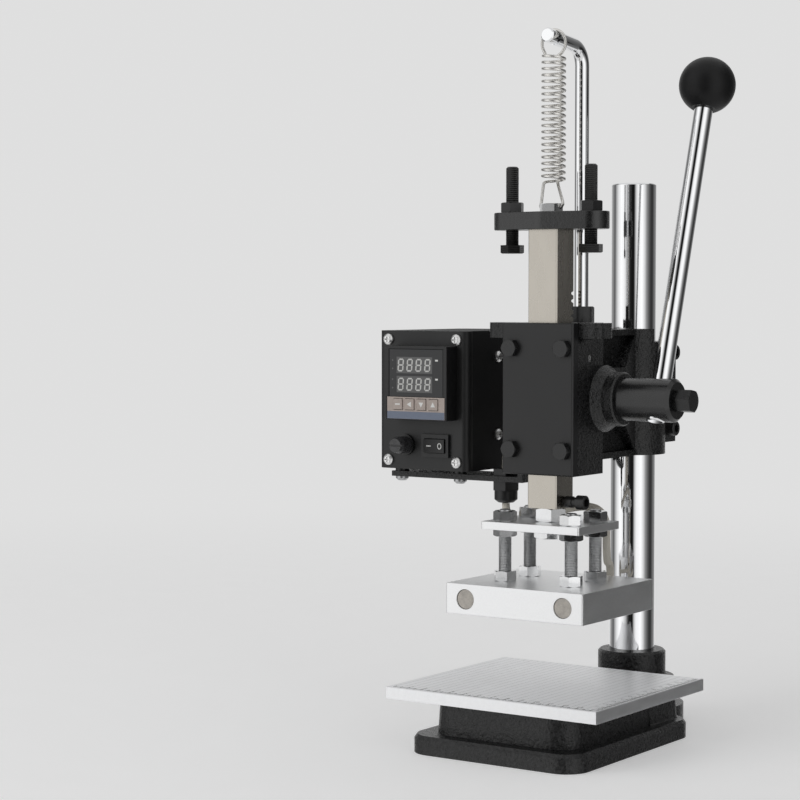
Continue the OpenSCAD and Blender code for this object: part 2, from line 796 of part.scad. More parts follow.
module gib_screw() {
    gib_len = head_w / 2 - guide_y - 0.7;
    color("#9a9c9e") translate([guide_y, gib_y, gib_z]) rotate([0, 90, 0]) difference() {
        cylinder(d = m5_d, h = gib_len);
        translate([0, 0, gib_len - 3]) hex(2.5, 4);
    }
}

module spring_rod() {
    color("#c9ccd0") {
        translate([0, rod_y, clamp_top - rod_seat_depth])
            cylinder(d = rod_d, h = bend_z - clamp_top + rod_seat_depth);
        translate([0, rod_y - rod_bend_r, bend_z]) rotate([90, 0, 90])
            rotate_extrude(angle = bend_turn) translate([rod_bend_r, 0]) circle(d = rod_d - 0.02);
        translate([0, arm_start_y, arm_start_z]) rotate([90 - rod_tilt, 0, 0]) {
            cylinder(d = rod_d, h = groove_at);
            cylinder(d = rod_d - 2 * rod_groove, h = groove_at + groove_w + 0.5);
            translate([0, 0, groove_at + groove_w])
                cylinder(d = rod_d, h = arm_len - 0.8 - groove_at - groove_w);
            translate([0, 0, arm_len - 0.8]) cylinder(d1 = rod_d, d2 = rod_d - 1.6, h = 0.8);
        }
    }
}

module rod_nut() {
    color("#a9adb0") translate([0, rod_y, clamp_top]) difference() {
        union() {
            cylinder(d = washer_d, h = washer_t);
            translate([0, 0, washer_t - 0.2]) rotate([0, 0, 12]) hex_blank(rod_nut_flats, rod_nut_h);
        }
        translate([0, 0, -slop]) cylinder(d = rod_d + 2 * bolt_clear, h = washer_t + rod_nut_h + 2 * slop);
    }
}

// Return spring: upper eye, body, left leg, hook through the bolt head, right leg
function eye_point(a) = [eye_r * cos(a), spring_y, eye_z + eye_r * sin(a)];
function coil_point(a) = [
    coil_r * cos(a),
    spring_y + coil_r * sin(a),
    coil_top - (coil_top - coil_bot) * (a - 180) / (360 * spring_turns)
];
function ease(s) = s * s * (3 - 2 * s);
function mix(a, b, s) = a + (b - a) * s;

spring_path = concat(
    [for (i = [0 : 12]) eye_point(-70 + (204 + 70) * i / 12)],
    [for (s = [0.2 : 0.2 : 0.8]) mix(eye_point(204 + 60 * s), coil_point(150 + 75 * s), ease(s))],
    [for (a = [225 : 45 : 180 + 360 * spring_turns - 22]) coil_point(a)],
    [
        [-coil_r + 0.3, spring_y + 0.8, coil_bot - 0.3],
        [-coil_r - 0.1, spring_y, coil_bot - 2],
        [-coil_r - 0.9, 1, hook_z + 3],
        [-coil_r - 0.9, 0, hook_z + 0.9],
        [-coil_r + 0.2, 0, hook_z],
        [0, 0, hook_z],
        [coil_r - 0.2, 0, hook_z],
        [coil_r + 0.9, 0, hook_z + 0.9],
        [coil_r + 1, 0.6, hook_z + 3],
        [0, spring_y + coil_r - 1.5, coil_bot - wire_d - 1],
    ]
);
spring_self_gap = min([
    for (i = [0 : len(spring_path) - 1])
        for (j = [i + 5 : len(spring_path) - 1])
            norm(spring_path[i] - spring_path[j])
]) - wire_d;
echo(spring_self_gap = spring_self_gap);

module return_spring() {
    color("#b9bcbe") tube(spring_path, wire_r, 6, [0, 1, 0]);
}

// Control box and what it carries
module box_bracket() {
    left = bracket_screw_x[0] - 5;
    inner = -head_w / 2;
    color("#303132") difference() {
        union() {
            translate([left, bracket_y, bracket_top - bracket_t]) cube([inner - left, bracket_d, bracket_t]);
            translate([inner - bracket_t, bracket_y, bracket_top - bracket_t])
                cube([bracket_t, head_back - bracket_y, bracket_leg_h]);
        }
        translate([-gland_x, gland_y, bracket_top - bracket_t - slop])
            cylinder(d = gland_thread_d + 2 * bolt_clear, h = bracket_t + 2 * slop);
        for (x = bracket_screw_x) {
            translate([x, bracket_screw_y, bracket_top - bracket_t - slop])
                cylinder(d = m5_d + 2 * bolt_clear, h = bracket_t + 2 * slop);
        }
        for (row = [0, 1]) {
            translate([-head_w / 2 - bracket_t - slop, bracket_bolt_y, head_bot + 12 + 17 * row])
                rotate([0, 90, 0]) cylinder(d = m5_d + 2 * bolt_clear, h = bracket_t + 2 * slop);
        }
    }
}

module box_spacers() {
    color("#a9adb0") for (x = bracket_screw_x) {
        translate([x, bracket_screw_y, bracket_top]) difference() {
            cylinder(d = 9, h = spacer_h);
            translate([0, 0, -slop]) cylinder(d = m5_d + 2 * bolt_clear, h = spacer_h + 2 * slop);
        }
    }
}

module bracket_screws() {
    color("#a9adb0") {
        for (x = bracket_screw_x) {
            translate([x, bracket_screw_y, bracket_top - bracket_t]) {
                rotate([180, 0, 0]) pan_head(m5_head_d, 3);
                cylinder(d = m5_d, h = bracket_t + spacer_h + box_wall + 0.5);
            }
        }
        for (row = [0, 1]) {
            translate([-head_w / 2 - bracket_t, bracket_bolt_y, head_bot + 12 + 17 * row]) {
                rotate([0, -90, 0]) pan_head(m5_head_d, 3);
                rotate([0, 90, 0]) cylinder(d = m5_d, h = bracket_t + 9);
            }
        }
    }
}

module box_outline(inset, h) {
    r = max(box_corner - inset, 0.5);
    translate([box_mid_x, 0, 0]) round_slab(box_w - 2 * inset, inset, box_d - inset, r, h);
}

module box_shell() {
    front = panel_t;
    color("#26272a") difference() {
        union() {
            difference() {
                translate([0, 0, box_bot]) box_outline(0, box_h);
                translate([0, 0, box_bot + box_wall]) intersection() {
                    box_outline(box_wall, box_h - 2 * box_wall);
                    translate([-300, -slop, 0]) cube([300, box_d + slop - box_wall, box_h]);
                }
                translate([-300, -slop, box_bot - slop]) cube([300, front + slop, box_h + 2 * slop]);
            }
            for (side = [-1, 1]) {
                for (row = [-1, 1]) {
                    x = box_mid_x + side * panel_screw_x;
                    z = box_mid_z + row * panel_screw_z;
                    translate([
                        side > 0 ? x - post_edge : box_mid_x - box_w / 2 + box_wall / 2,
                        front,
                        row > 0 ? z - post_edge : box_bot + box_wall / 2
                    ]) cube([
                        panel_screw_side + post_edge - box_wall / 2, 16, panel_screw_edge + post_edge - box_wall / 2
                    ]);
                }
            }
        }
        for (side = [-1, 1]) {
            for (row = [-1, 1]) {
                translate([box_mid_x + side * panel_screw_x, 0, box_mid_z + row * panel_screw_z])
                    rotate([-90, 0, 0]) cylinder(d = 4, h = front + 13);
            }
            translate([box_right - box_w / 2, wall_screw_y, box_mid_z + 2.8 + side * wall_screw_z])
                rotate([0, 90, 0]) cylinder(d = 4 + 2 * bolt_clear, h = box_w);
        }
        for (x = bracket_screw_x) {
            translate([x, bracket_screw_y, box_bot - slop]) cylinder(d = m5_d, h = box_wall + 0.5 + slop);
        }
        translate([box_right - box_w / 2, lead_hole_y, lead_hole_z])
            rotate([0, 90, 0]) cylinder(d = lead_d + 1, h = box_w);
        translate([box_mid_x - 13.8, box_d - box_wall - slop, box_mid_z - 10.2])
            cube([27.6, box_wall + 2 * slop, 20.4]);
    }
}

module front_panel() {
    color("#2e2f31") difference() {
        intersection() {
            translate([0, 0, box_bot]) box_outline(0, box_h);
            translate([-300, -slop, box_bot - slop]) cube([300, panel_t + slop, box_h + 2 * slop]);
        }
        translate([bezel_cx - bezel_body_w / 2 - 0.2, -slop, bezel_cz - bezel_body_w / 2 - 0.2])
            cube([bezel_body_w + 0.4, panel_t + 2 * slop, bezel_body_w + 0.4]);
        translate([fuse_cx, -slop, lower_z]) rotate([-90, 0, 0]) cylinder(d = 12.2, h = panel_t + 2 * slop);
        translate([switch_cx - switch_body_w / 2 - 0.2, -slop, lower_z - switch_body_h / 2 - 0.2])
            cube([switch_body_w + 0.4, panel_t + 2 * slop, switch_body_h + 0.4]);
        for (side = [-1, 1]) {
            for (row = [-1, 1]) {
                translate([box_mid_x + side * panel_screw_x, -slop, box_mid_z + row * panel_screw_z])
                    rotate([-90, 0, 0]) cylinder(d = 4 + 2 * bolt_clear, h = panel_t + 2 * slop);
            }
        }
    }
}

module panel_screws() {
    color("#d0d2d3") for (side = [-1, 1]) {
        for (row = [-1, 1]) {
            translate([box_mid_x + side * panel_screw_x, 0, box_mid_z + row * panel_screw_z]) {
                rotate([90, 0, 0]) pan_head(m4_head_d, m4_head_h);
                rotate([-90, 0, 0]) cylinder(d = 4, h = panel_t + 12);
            }
        }
    }
}

module wall_screws() {
    color("#d0d2d3") for (row = [-1, 1]) {
        translate([box_right, wall_screw_y, box_mid_z + 2.8 + row * wall_screw_z]) {
            rotate([0, 90, 0]) pan_head(m4_head_d, m4_head_h);
            rotate([0, -90, 0]) cylinder(d = 4, h = box_wall + 4.5);
            translate([-box_wall - 3, 0, 0]) rotate([0, 90, 0]) hex_nut(7, 3, 4);
        }
    }
}

module relay() {
    relay_w = 45;
    relay_d = 22;
    relay_h = 60;
    color("#4a4c4e") translate([box_mid_x - relay_w / 2, box_d - box_wall - relay_d - 3, box_bot + box_wall])
        difference() {
            cube([relay_w, relay_d, relay_h * 0.4]);
            for (x = [5, relay_w - 5]) {
                translate([x, relay_d / 2, relay_h * 0.4 - 8]) cylinder(d = 4, h = 9);
            }
        }
}

module mains_inlet() {
    back = box_d;
    color("#232425") translate([box_mid_x, back, box_mid_z]) difference() {
        union() {
            translate([-25, 0, -11.5]) cube([50, 3, 23]);
            translate([-13.6, -18, -10]) cube([27.2, 18.5, 20]);
        }
        translate([-11.5, -13, -7.8]) cube([23, 17, 15.6]);
        for (x = [-20, 20]) translate([x, -slop, 0]) rotate([-90, 0, 0]) cylinder(d = 3.4, h = 5);
    }
    color("#c9ccd0") for (x = [-7, 0, 7]) {
        translate([box_mid_x + x - 1, back - 14, box_mid_z - 2 + (x == 0 ? 3 : 0)]) cube([2, 12, 4]);
    }
}

module cable_gland() {
    top = bracket_top;
    bot = bracket_top - bracket_t;
    color("#232425") translate([-gland_x, gland_y, 0]) difference() {
        union() {
            translate([0, 0, top]) hex(gland_d - 2, 4.5);
            translate([0, 0, bot - 3]) cylinder(d = gland_thread_d, h = bracket_t + 5);
            translate([0, 0, bot - 6]) hex(gland_d - 2, 6);
            translate([0, 0, bot - gland_h + 4]) cylinder(d = gland_d - 3, h = gland_h - 9);
            translate([0, 0, bot - gland_h + 2]) cylinder(d1 = gland_d - 8, d2 = gland_d - 3, h = 2);
        }
        translate([0, 0, bot - gland_h]) cylinder(d = lead_d + 0.6, h = gland_h + bracket_t + 9);
    }
}

module box_lead() {
    color("#e6dfcf") tube(box_lead_route, lead_d / 2, 8, [1, 0, 0]);
}

module controller_body() {
    cut_z = bezel_cz + bezel_w / 2 - 2 - window_h;
    color("#232425") difference() {
        union() {
            translate([bezel_cx - bezel_w / 2, -bezel_t, bezel_cz - bezel_w / 2])
                cube([bezel_w, bezel_t, bezel_w]);
            translate([bezel_cx - bezel_body_w / 2, -1, bezel_cz - bezel_body_w / 2])
                cube([bezel_body_w, bezel_body_d, bezel_body_w]);
        }
        translate([bezel_cx - window_w / 2, -bezel_t - slop, cut_z]) cube([window_w, slop + 1.4, window_h]);
        translate([bezel_cx - window_w / 2 - 1.5, -bezel_t - slop, bezel_cz - bezel_w / 2 + 0.5])
            cube([window_w + 3, slop + strip_t, strip_h - 0.5]);
        for (i = [0 : 3]) {
            translate([key_left(i) - key_gap, -bezel_t - slop, key_z - key_h / 2 - key_gap])
                cube([key_w + 2 * key_gap, slop + 4, key_h + 2 * key_gap]);
        }
    }
}

module display_window() {
    cut_z = bezel_cz + bezel_w / 2 - 2 - window_h;
    color("#3c3d3f") translate([bezel_cx - window_w / 2 + 0.1, -bezel_t + 0.3, cut_z + 0.1])
        cube([window_w - 0.2, window_t, window_h - 0.2]);
}

module key_strip() {
    color("#b9a99c") difference() {
        translate([bezel_cx - window_w / 2 - 1.4, -bezel_t, bezel_cz - bezel_w / 2 + 0.6])
            cube([window_w + 2.8, strip_t - 0.1, strip_h - 0.7]);
        for (i = [0 : 3]) {
            translate([key_left(i) - key_gap, -bezel_t - slop, key_z - key_h / 2 - key_gap])
                cube([key_w + 2 * key_gap, slop + 4, key_h + 2 * key_gap]);
        }
    }
}

module key_cap(i) {
    depth = 4 + key_out - key_travel - 0.3;
    color("#b9a99c") translate([key_left(i), -bezel_t - key_out, key_z - key_h / 2])
        cube([key_w, depth, key_h]);
}

module set_key() {
    key_cap(0);
}

module left_key() {
    key_cap(1);
}

module down_key() {
    key_cap(2);
}

module up_key() {
    key_cap(3);
}

module fuse_holder() {
    color("#232425") translate([fuse_cx, 0, lower_z]) rotate([-90, 0, 0]) difference() {
        union() {
            translate([0, 0, -1.8]) cylinder(d = 13.8, h = 1.8);
            cylinder(d = 12.1, h = 34);
            translate([0, 0, panel_t]) hex_nut(15, 3, 12.1);
        }
        translate([0, 0, -3]) cylinder(d = 9.6, h = 33);
    }
}

module fuse_cap() {
    color("#2b2c2d") translate([fuse_cx, 0, lower_z]) rotate([90, 0, 0]) difference() {
        union() {
            translate([0, 0, -6]) cylinder(d = 9.5, h = 8);
            translate([0, 0, 1.9]) cylinder(d = 11.2, h = 8);
            translate([0, 0, 9.9]) cylinder(d1 = 11.2, d2 = 9, h = 3.3);
        }
        translate([-5, -0.6, 11.6]) cube([10, 1.2, 3]);
        translate([0, 0, -7]) cylinder(d = 5.3, h = 8);
    }
}

module fuse_link() {
    color("#c9ccd0") translate([fuse_cx, 5.5, lower_z]) rotate([-90, 0, 0]) cylinder(d = 5.2, h = 20);
}

module switch_frame() {
    color("#232425") translate([switch_cx, 0, lower_z]) difference() {
        union() {
            translate([-switch_w / 2, -2, -switch_h / 2]) cube([switch_w, 2, switch_h]);
            translate([-switch_body_w / 2, -1, -switch_body_h / 2]) cube([switch_body_w, 17, switch_body_h]);
        }
        translate([-rocker_w / 2 - 0.6, -3, -rocker_h / 2 - 0.3]) cube([rocker_w + 1.2, 12, rocker_h + 0.6]);
        cylinder(d = 2.1, h = switch_body_h - 1, center = true);
    }
}

module switch_rocker() {
    half = rocker_w / 2;
    color("#2b2c2d") translate([switch_cx, 0, lower_z]) rotate([0, 0, rocker_tilt]) {
        translate([0, 0, -rocker_h / 2]) linear_extrude(rocker_h)
            polygon([
                [-half, -4.2], [0, -3], [half, -4.2], [half - 0.8, 2.5],
                [2, 6], [-2, 6], [-half + 0.8, 2.5]
            ]);
        cylinder(d = 2, h = switch_body_h - 1.4, center = true);
    }
}

// Pinion shaft and lever
function involute(t) = base_r * [cos(t) + t * PI / 180 * sin(t), sin(t) - t * PI / 180 * cos(t)];
function turned(p, a) = [p[0] * cos(a) - p[1] * sin(a), p[0] * sin(a) + p[1] * cos(a)];
function roll_to(r) = sqrt(max(pow(r / base_r, 2) - 1, 0)) * 180 / PI;

module pinion_profile() {
    flank_end = roll_to(tip_r);
    at_pitch = involute(roll_to(pitch_r));
    half_tooth = 90 / pinion_teeth - gear_backlash / 2 / pitch_r * 180 / PI;
    lead_in = atan2(at_pitch[1], at_pitch[0]) + half_tooth;
    flank = [for (i = [0 : 5]) turned(involute(flank_end * i / 5), -lead_in)];
    tooth = concat(
        [root_r * [cos(-lead_in - 1), sin(-lead_in - 1)]],
        flank,
        [for (i = [5 : -1 : 0]) [flank[i][0], -flank[i][1]]],
        [root_r * [cos(lead_in + 1), sin(lead_in + 1)]]
    );
    polygon([for (k = [0 : pinion_teeth - 1]) each [for (p = tooth) turned(p, 360 * k / pinion_teeth)]]);
}

module pinion_shaft() {
    edge = 2;
    color("#2b2c2d") difference() {
        translate([0, pinion_y, pinion_z]) {
            rotate([90, 0, 90]) translate([0, 0, -pinion_w / 2]) linear_extrude(pinion_w) pinion_profile();
            rotate([0, 90, 0]) {
                translate([0, 0, -head_w / 2]) cylinder(d = journal_d, h = head_w / 2);
                translate([0, 0, pinion_w / 2 + 1])
                    cylinder(r = hub_r, h = hub_reach - edge - pinion_w / 2 - 1);
                translate([0, 0, pinion_w / 2 - slop]) cylinder(r = root_r, h = 3);
                translate([0, 0, hub_reach - edge]) cylinder(r1 = hub_r, r2 = hub_r - edge, h = edge);
            }
        }
        translate([lever_x, pinion_y, pinion_z]) rotate([-lever_lean, 0, 0])
            cylinder(d = lever_d, h = 4 * hub_r, center = true);
        translate([lever_x, pinion_y, pinion_z]) rotate([0, 90, 0]) cylinder(d = m8_d, h = hub_reach);
        translate([-head_w / 2 - slop, pinion_y, pinion_z]) rotate([0, 90, 0]) cylinder(d = m5_d, h = 12);
    }
}

module shaft_retainer() {
    color("#a9adb0") translate([-head_w / 2, pinion_y, pinion_z]) rotate([0, -90, 0]) {
        translate([0, 0, 0.1]) cylinder(d = journal_d + 5, h = washer_t);
        translate([0, 0, 0.1 + washer_t]) pan_head(m5_head_d, 3);
        translate([0, 0, -10]) cylinder(d = m5_d, h = 10.2);
    }
}

module lever_rod() {
    edge = 1.2;
    color("#c9ccd0") translate([lever_x, pinion_y, pinion_z]) rotate([-lever_lean, 0, 0]) {
        translate([0, 0, -lever_tail + edge]) cylinder(d = lever_d, h = lever_tail + lever_len - edge);
        translate([0, 0, -lever_tail]) cylinder(d1 = lever_d - 2 * edge, d2 = lever_d, h = edge);
    }
}

module ball_knob() {
    depth = 12;
    mid = sqrt(pow(ball_d / 2, 2) - pow(lever_d / 2 + 2, 2));
    color("#1c1d1e") translate([lever_x, pinion_y, pinion_z]) rotate([-lever_lean, 0, 0])
        translate([0, 0, lever_len - depth + mid]) difference() {
            sphere(d = ball_d, $fn = 64);
            translate([0, 0, -mid - ball_d]) cylinder(d = ball_d, h = ball_d);
            translate([0, 0, -ball_d]) cylinder(d = lever_d, h = ball_d - mid + depth);
        }
}

module lever_lock_bolt() {
    shank = hub_reach - lever_x - lever_d / 2;
    color("#26272a") translate([hub_reach, pinion_y, pinion_z]) rotate([0, 90, 0]) {
        translate([0, 0, -shank]) cylinder(d = m8_d, h = shank + 0.1);
        cylinder(d = 11, h = 2);
        translate([0, 0, 2]) rotate([0, 0, 20]) hex_head(m8_flats, 9);
    }
}

// Ram and what it carries
module rack_cut() {
    top = tan(20);
    depth = gear_module + gear_gap;
    half = gear_pitch / 4;
    first = -floor(rack_down / gear_pitch);
    last = floor(rack_up / gear_pitch);
    face = rack_addendum + 0.2;
    for (k = [first : last]) {
        translate([-ram_w, rack_line_y, pinion_z + k * gear_pitch])
            rotate([90, 0, 90]) linear_extrude(2 * ram_w)
            polygon([
                [-depth, -half + depth * top], [face, -half - face * top], [face + ram_w, -half - face * top],
                [face + ram_w, half + face * top], [face, half + face * top], [-depth, half - depth * top],
            ]);
    }
}

module ram() {
    edge = 0.7;
    w = ram_w / 2;
    color("#b4aca2") difference() {
        translate([0, 0, ram_bot]) linear_extrude(ram_len) polygon([
            [-w + edge, -w], [w - edge, -w], [w, -w + edge], [w, w - edge],
            [w - edge, w], [-w + edge, w], [-w, w - edge], [-w, -w + edge],
        ]);
        rack_cut();
        translate([0, 0, ram_bot - slop]) cylinder(d = m12_d, h = 22 + slop);
        translate([0, 0, ram_top - 26]) cylinder(d = m8_d, h = 26 + slop);
        translate([0, 0, ram_bot + 4.2]) rotate([0, 90, 0]) cylinder(d = m6_d, h = ram_w);
    }
}

module crossbar() {
    lean = asin((bar_mid_r - bar_end_r) / stop_x);
    mid = bar_mid_r - 0.02;
    end = bar_end_r - 0.02;
    color("#303132") difference() {
        translate([0, 0, ram_top]) linear_extrude(bar_t) {
            circle(bar_mid_r);
            for (side = [-1, 1]) translate([side * stop_x, 0]) circle(bar_end_r);
            polygon([
                [-mid * sin(lean), mid * cos(lean)],
                [-stop_x - end * sin(lean), end * cos(lean)],
                [-stop_x - end * sin(lean), -end * cos(lean)],
                [-mid * sin(lean), -mid * cos(lean)],
                [mid * sin(lean), -mid * cos(lean)],
                [stop_x + end * sin(lean), -end * cos(lean)],
                [stop_x + end * sin(lean), end * cos(lean)],
                [mid * sin(lean), mid * cos(lean)],
            ]);
        }
        for (x = [-stop_x, 0, stop_x]) {
            translate([x, 0, ram_top - slop]) cylinder(d = m8_d + 2 * bolt_clear, h = bar_t + 2 * slop);
        }
    }
}

module crossbar_bolt() {
    color("#d0d2d3") difference() {
        translate([0, 0, bar_top]) {
            rotate([0, 0, 15]) hex_head(m8_flats, m8_head_h);
            translate([0, 0, -bar_t - 24]) cylinder(d = m8_d, h = bar_t + 24.1);
        }
        translate([-m8_flats, 0, hook_z]) rotate([0, 90, 0]) cylinder(d = hook_hole_d, h = 2 * m8_flats);
    }
}

module stop_bolt(side) {
    head_z = ram_top - stop_drop;
    color("#26272a") translate([side * stop_x, 0, head_z]) {
        rotate([180, 0, 0]) rotate([0, 0, 20]) hex_head(m8_flats, m8_head_h);
        cylinder(d = m8_d, h = stop_len - 1);
        translate([0, 0, stop_len - 1]) cylinder(d1 = m8_d, d2 = m8_d - 2, h = 1);
    }
}

module left_stop_bolt() {
    stop_bolt(-1);
}

module right_stop_bolt() {
    stop_bolt(1);
}

module stop_nuts() {
    color("#26272a") for (side = [-1, 1]) {
        translate([side * stop_x, 0, bar_top]) rotate([0, 0, 10 * side])
            hex_nut(m8_flats, m8_nut_h, m8_d + 2 * bolt_clear);
    }
}

module coupling_nut() {
    color("#a9adb0") translate([0, 0, plate_top]) rotate([0, 0, 4])
        hex_nut(m12_flats, coupling_h, m12_d + 2 * bolt_clear);
}

module plate_bolt() {
    color("#a9adb0") translate([0, 0, plate_bot]) {
        rotate([180, 0, 0]) rotate([0, 0, 10]) hex_head(m12_flats, m12_head_h);
        cylinder(d = m12_d, h = plate_t + coupling_h + 20);
    }
}

module ram_screw() {
    reach = 26;
    color("#1c1d1e") translate([m12_d / 2, 0, ram_bot + 4.2]) rotate([0, 90, 0]) {
        cylinder(d = m6_d - 0.1, h = reach - m12_d / 2 - 6);
        translate([0, 0, reach - m12_d / 2 - 6]) cap_head(9, 6, 5);
        translate([0, 0, ram_w / 2 - m12_d / 2 + 1.2]) cylinder(d = 7.2, h = 5);
    }
}

module plate_holes(z, h, d) {
    for (side = [-1, 1]) {
        for (row = [-1, 1]) translate([side * stud_x, row * stud_y, z]) cylinder(d = d, h = h);
    }
}

module connection_plate() {
    color("#d9dbdc") difference() {
        translate([0, 0, plate_bot]) round_slab(plate_w, -plate_d / 2, plate_d / 2, 1, plate_t);
        plate_holes(plate_bot - slop, plate_t + 2 * slop, m8_d + 2 * bolt_clear);
        translate([0, 0, plate_bot - slop]) cylinder(d = m12_d + 2 * bolt_clear, h = plate_t + 2 * slop);
    }
}

module studs() {
    stud_len = stud_depth + stud_gap + plate_t + m8_nut_h + 1;
    color("#a9adb0") for (side = [-1, 1]) {
        for (row = [-1, 1]) {
            translate([side * stud_x, row * stud_y, block_top - stud_depth]) {
                cylinder(d = m8_d, h = stud_len - 1);
                translate([0, 0, stud_len - 1]) cylinder(d1 = m8_d, d2 = m8_d - 2, h = 1);
            }
        }
    }
}

module plate_nuts() {
    color("#a9adb0") for (side = [-1, 1]) {
        for (row = [-1, 1]) {
            translate([side * stud_x, row * stud_y, 0]) {
                translate([0, 0, plate_top]) rotate([0, 0, 7 * side + 20 * row])
                    hex_nut(m8_flats, m8_nut_h, m8_d + 2 * bolt_clear);
                translate([0, 0, plate_bot - m8_thin_nut_h]) rotate([0, 0, 25 * side])
                    hex_nut(m8_flats, m8_thin_nut_h, m8_d + 2 * bolt_clear);
            }
        }
    }
}

module block_nuts() {
    color("#a9adb0") for (side = [-1, 1]) {
        for (row = [-1, 1]) {
            translate([side * stud_x, row * stud_y, block_top]) rotate([0, 0, 11 * side * row])
                hex_nut(m8_flats, m8_nut_h, m8_d + 2 * bolt_clear);
        }
    }
}

module heater_block() {
    edge = 0.5;
    w = block_w / 2;
    d = block_d / 2;
    color("#d9dbdc") difference() {
        translate([0, 0, block_bot]) linear_extrude(block_t) polygon([
            [-w + edge, -d], [w - edge, -d], [w, -d + edge], [w, d - edge],
            [w - edge, d], [-w + edge, d], [-w, d - edge], [-w, -d + edge],
        ]);
        for (side = [-1, 1]) {
            translate([side * heater_x, -d - slop, block_bot + block_t / 2]) rotate([-90, 0, 0])
                cylinder(d = heater_d + 2 * seat, h = block_d + 2 * slop);
        }
        plate_holes(block_top - stud_depth, stud_depth + slop, m8_d);
        translate([0, d - 22, block_bot + block_t / 2]) rotate([-90, 0, 0]) cylinder(d = m6_d, h = 22 + slop);
    }
}

module cartridge_heaters() {
    inset = 0.6;
    color("#8b8178") for (side = [-1, 1]) {
        translate([side * heater_x, -block_d / 2 + inset, block_bot + block_t / 2]) rotate([-90, 0, 0])
            cylinder(d = heater_d, h = block_d - inset + 2);
    }
}

module temperature_probe() {
    color("#c9ccd0") translate([0, block_d / 2, block_bot + block_t / 2]) {
        rotate([90, 0, 0]) cylinder(d = m6_d, h = 20);
        rotate([-90, 0, 0]) hex_head(m6_flats, m6_head_h);
        rotate([-90, 0, 0]) cylinder(d = 4, h = m6_head_h + 4);
    }
}

// Short tails of both heaters and the probe, gathered in a collar at the lead's lower end
module heater_tails() {
    y0 = block_d / 2;
    z0 = block_bot + block_t / 2;
    color("#e6dfcf") {
        for (side = [-1, 1]) {
            tube([
                [side * heater_x, y0 + 2, z0], [side * heater_x, y0 + 5, z0],
                [side * (heater_x - 2), y0 + 9.5, z0],
                [side * (heater_x - 8), y0 + 12.5, z0 - side * 0.5], [side * 9 + 8, y0 + 13, z0 - side * 2],
                [13 + side * 4.5, y0 + 10.5, z0 + 1.5],
            ], 1.4, 8, [0, 0, 1]);
        }
        translate([13, 54, 92]) cylinder(d = 9, h = 8);
    }
}

module heater_lead() {
    color("#e6dfcf") tube(lead_route, lead_d / 2, 8, [1, 0, 0]);
}

base_casting();
column();
column_screw();
work_platform();
platform_screws();
head_casting();
cover_plate();
cover_bolts();
clamp_screws();
gib_screw();
spring_rod();
rod_nut();
return_spring();
box_bracket();
box_spacers();
bracket_screws();
box_shell();
front_panel();
panel_screws();
wall_screws();
relay();
mains_inlet();
cable_gland();
box_lead();
controller_body();
display_window();
key_strip();
set_key();
left_key();
down_key();
up_key();
fuse_holder();
fuse_cap();
fuse_link();
switch_frame();
switch_rocker();
pinion_shaft();
shaft_retainer();
lever_rod();
ball_knob();
lever_lock_bolt();
ram();
crossbar();
crossbar_bolt();
left_stop_bolt();
right_stop_bolt();
stop_nuts();
coupling_nut();
plate_bolt();
ram_screw();
connection_plate();
studs();
plate_nuts();
block_nuts();
heater_block();
cartridge_heaters();
temperature_probe();
heater_tails();
heater_lead();
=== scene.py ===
import json
import math
import bmesh
import bpy
from mathutils import Matrix, Vector


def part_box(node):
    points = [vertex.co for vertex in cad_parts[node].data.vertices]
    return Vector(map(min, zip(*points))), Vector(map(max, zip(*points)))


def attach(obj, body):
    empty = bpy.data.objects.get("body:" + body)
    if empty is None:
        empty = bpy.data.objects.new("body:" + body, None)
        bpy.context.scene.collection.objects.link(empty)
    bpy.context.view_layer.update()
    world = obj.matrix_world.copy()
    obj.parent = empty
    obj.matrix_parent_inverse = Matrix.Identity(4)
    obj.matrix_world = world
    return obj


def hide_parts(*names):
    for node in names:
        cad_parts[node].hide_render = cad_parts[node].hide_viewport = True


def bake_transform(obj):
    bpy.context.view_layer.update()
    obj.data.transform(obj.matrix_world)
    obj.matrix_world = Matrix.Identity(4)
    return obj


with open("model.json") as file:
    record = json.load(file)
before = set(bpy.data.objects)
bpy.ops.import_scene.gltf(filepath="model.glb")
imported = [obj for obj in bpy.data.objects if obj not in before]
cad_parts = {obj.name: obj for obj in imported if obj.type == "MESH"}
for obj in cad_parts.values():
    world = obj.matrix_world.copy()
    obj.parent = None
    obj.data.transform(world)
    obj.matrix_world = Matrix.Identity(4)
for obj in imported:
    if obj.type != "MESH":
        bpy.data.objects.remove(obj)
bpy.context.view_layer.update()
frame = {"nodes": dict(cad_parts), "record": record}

nodes = frame["nodes"]
bodies = frame["record"]["behaviour"]["bodies"]
body_of = {node: body for body, members in bodies.items() for node in members}
MM = 0.001


def mm(*values):
    """Vector in metres from values in millimetres."""
    return Vector([v * MM for v in values])


# Camera, at the photograph's view: place in metres, degrees that it looks down and round
CAMERA_PLACE = (0.70627, -1.18455, 0.2829)
CAMERA_DOWN = 2.72
CAMERA_TURN = 34.73
cam_data = bpy.data.cameras.new("camera")
cam_data.lens = 98.9
cam_data.sensor_width = 36
cam_data.clip_start = 0.05
cam_data.clip_end = 60
camera = bpy.data.objects.new("camera", cam_data)
bpy.context.scene.collection.objects.link(camera)
camera.location = CAMERA_PLACE
camera.rotation_euler = (math.radians(90 - CAMERA_DOWN), 0, math.radians(CAMERA_TURN))
bpy.context.scene.camera = camera


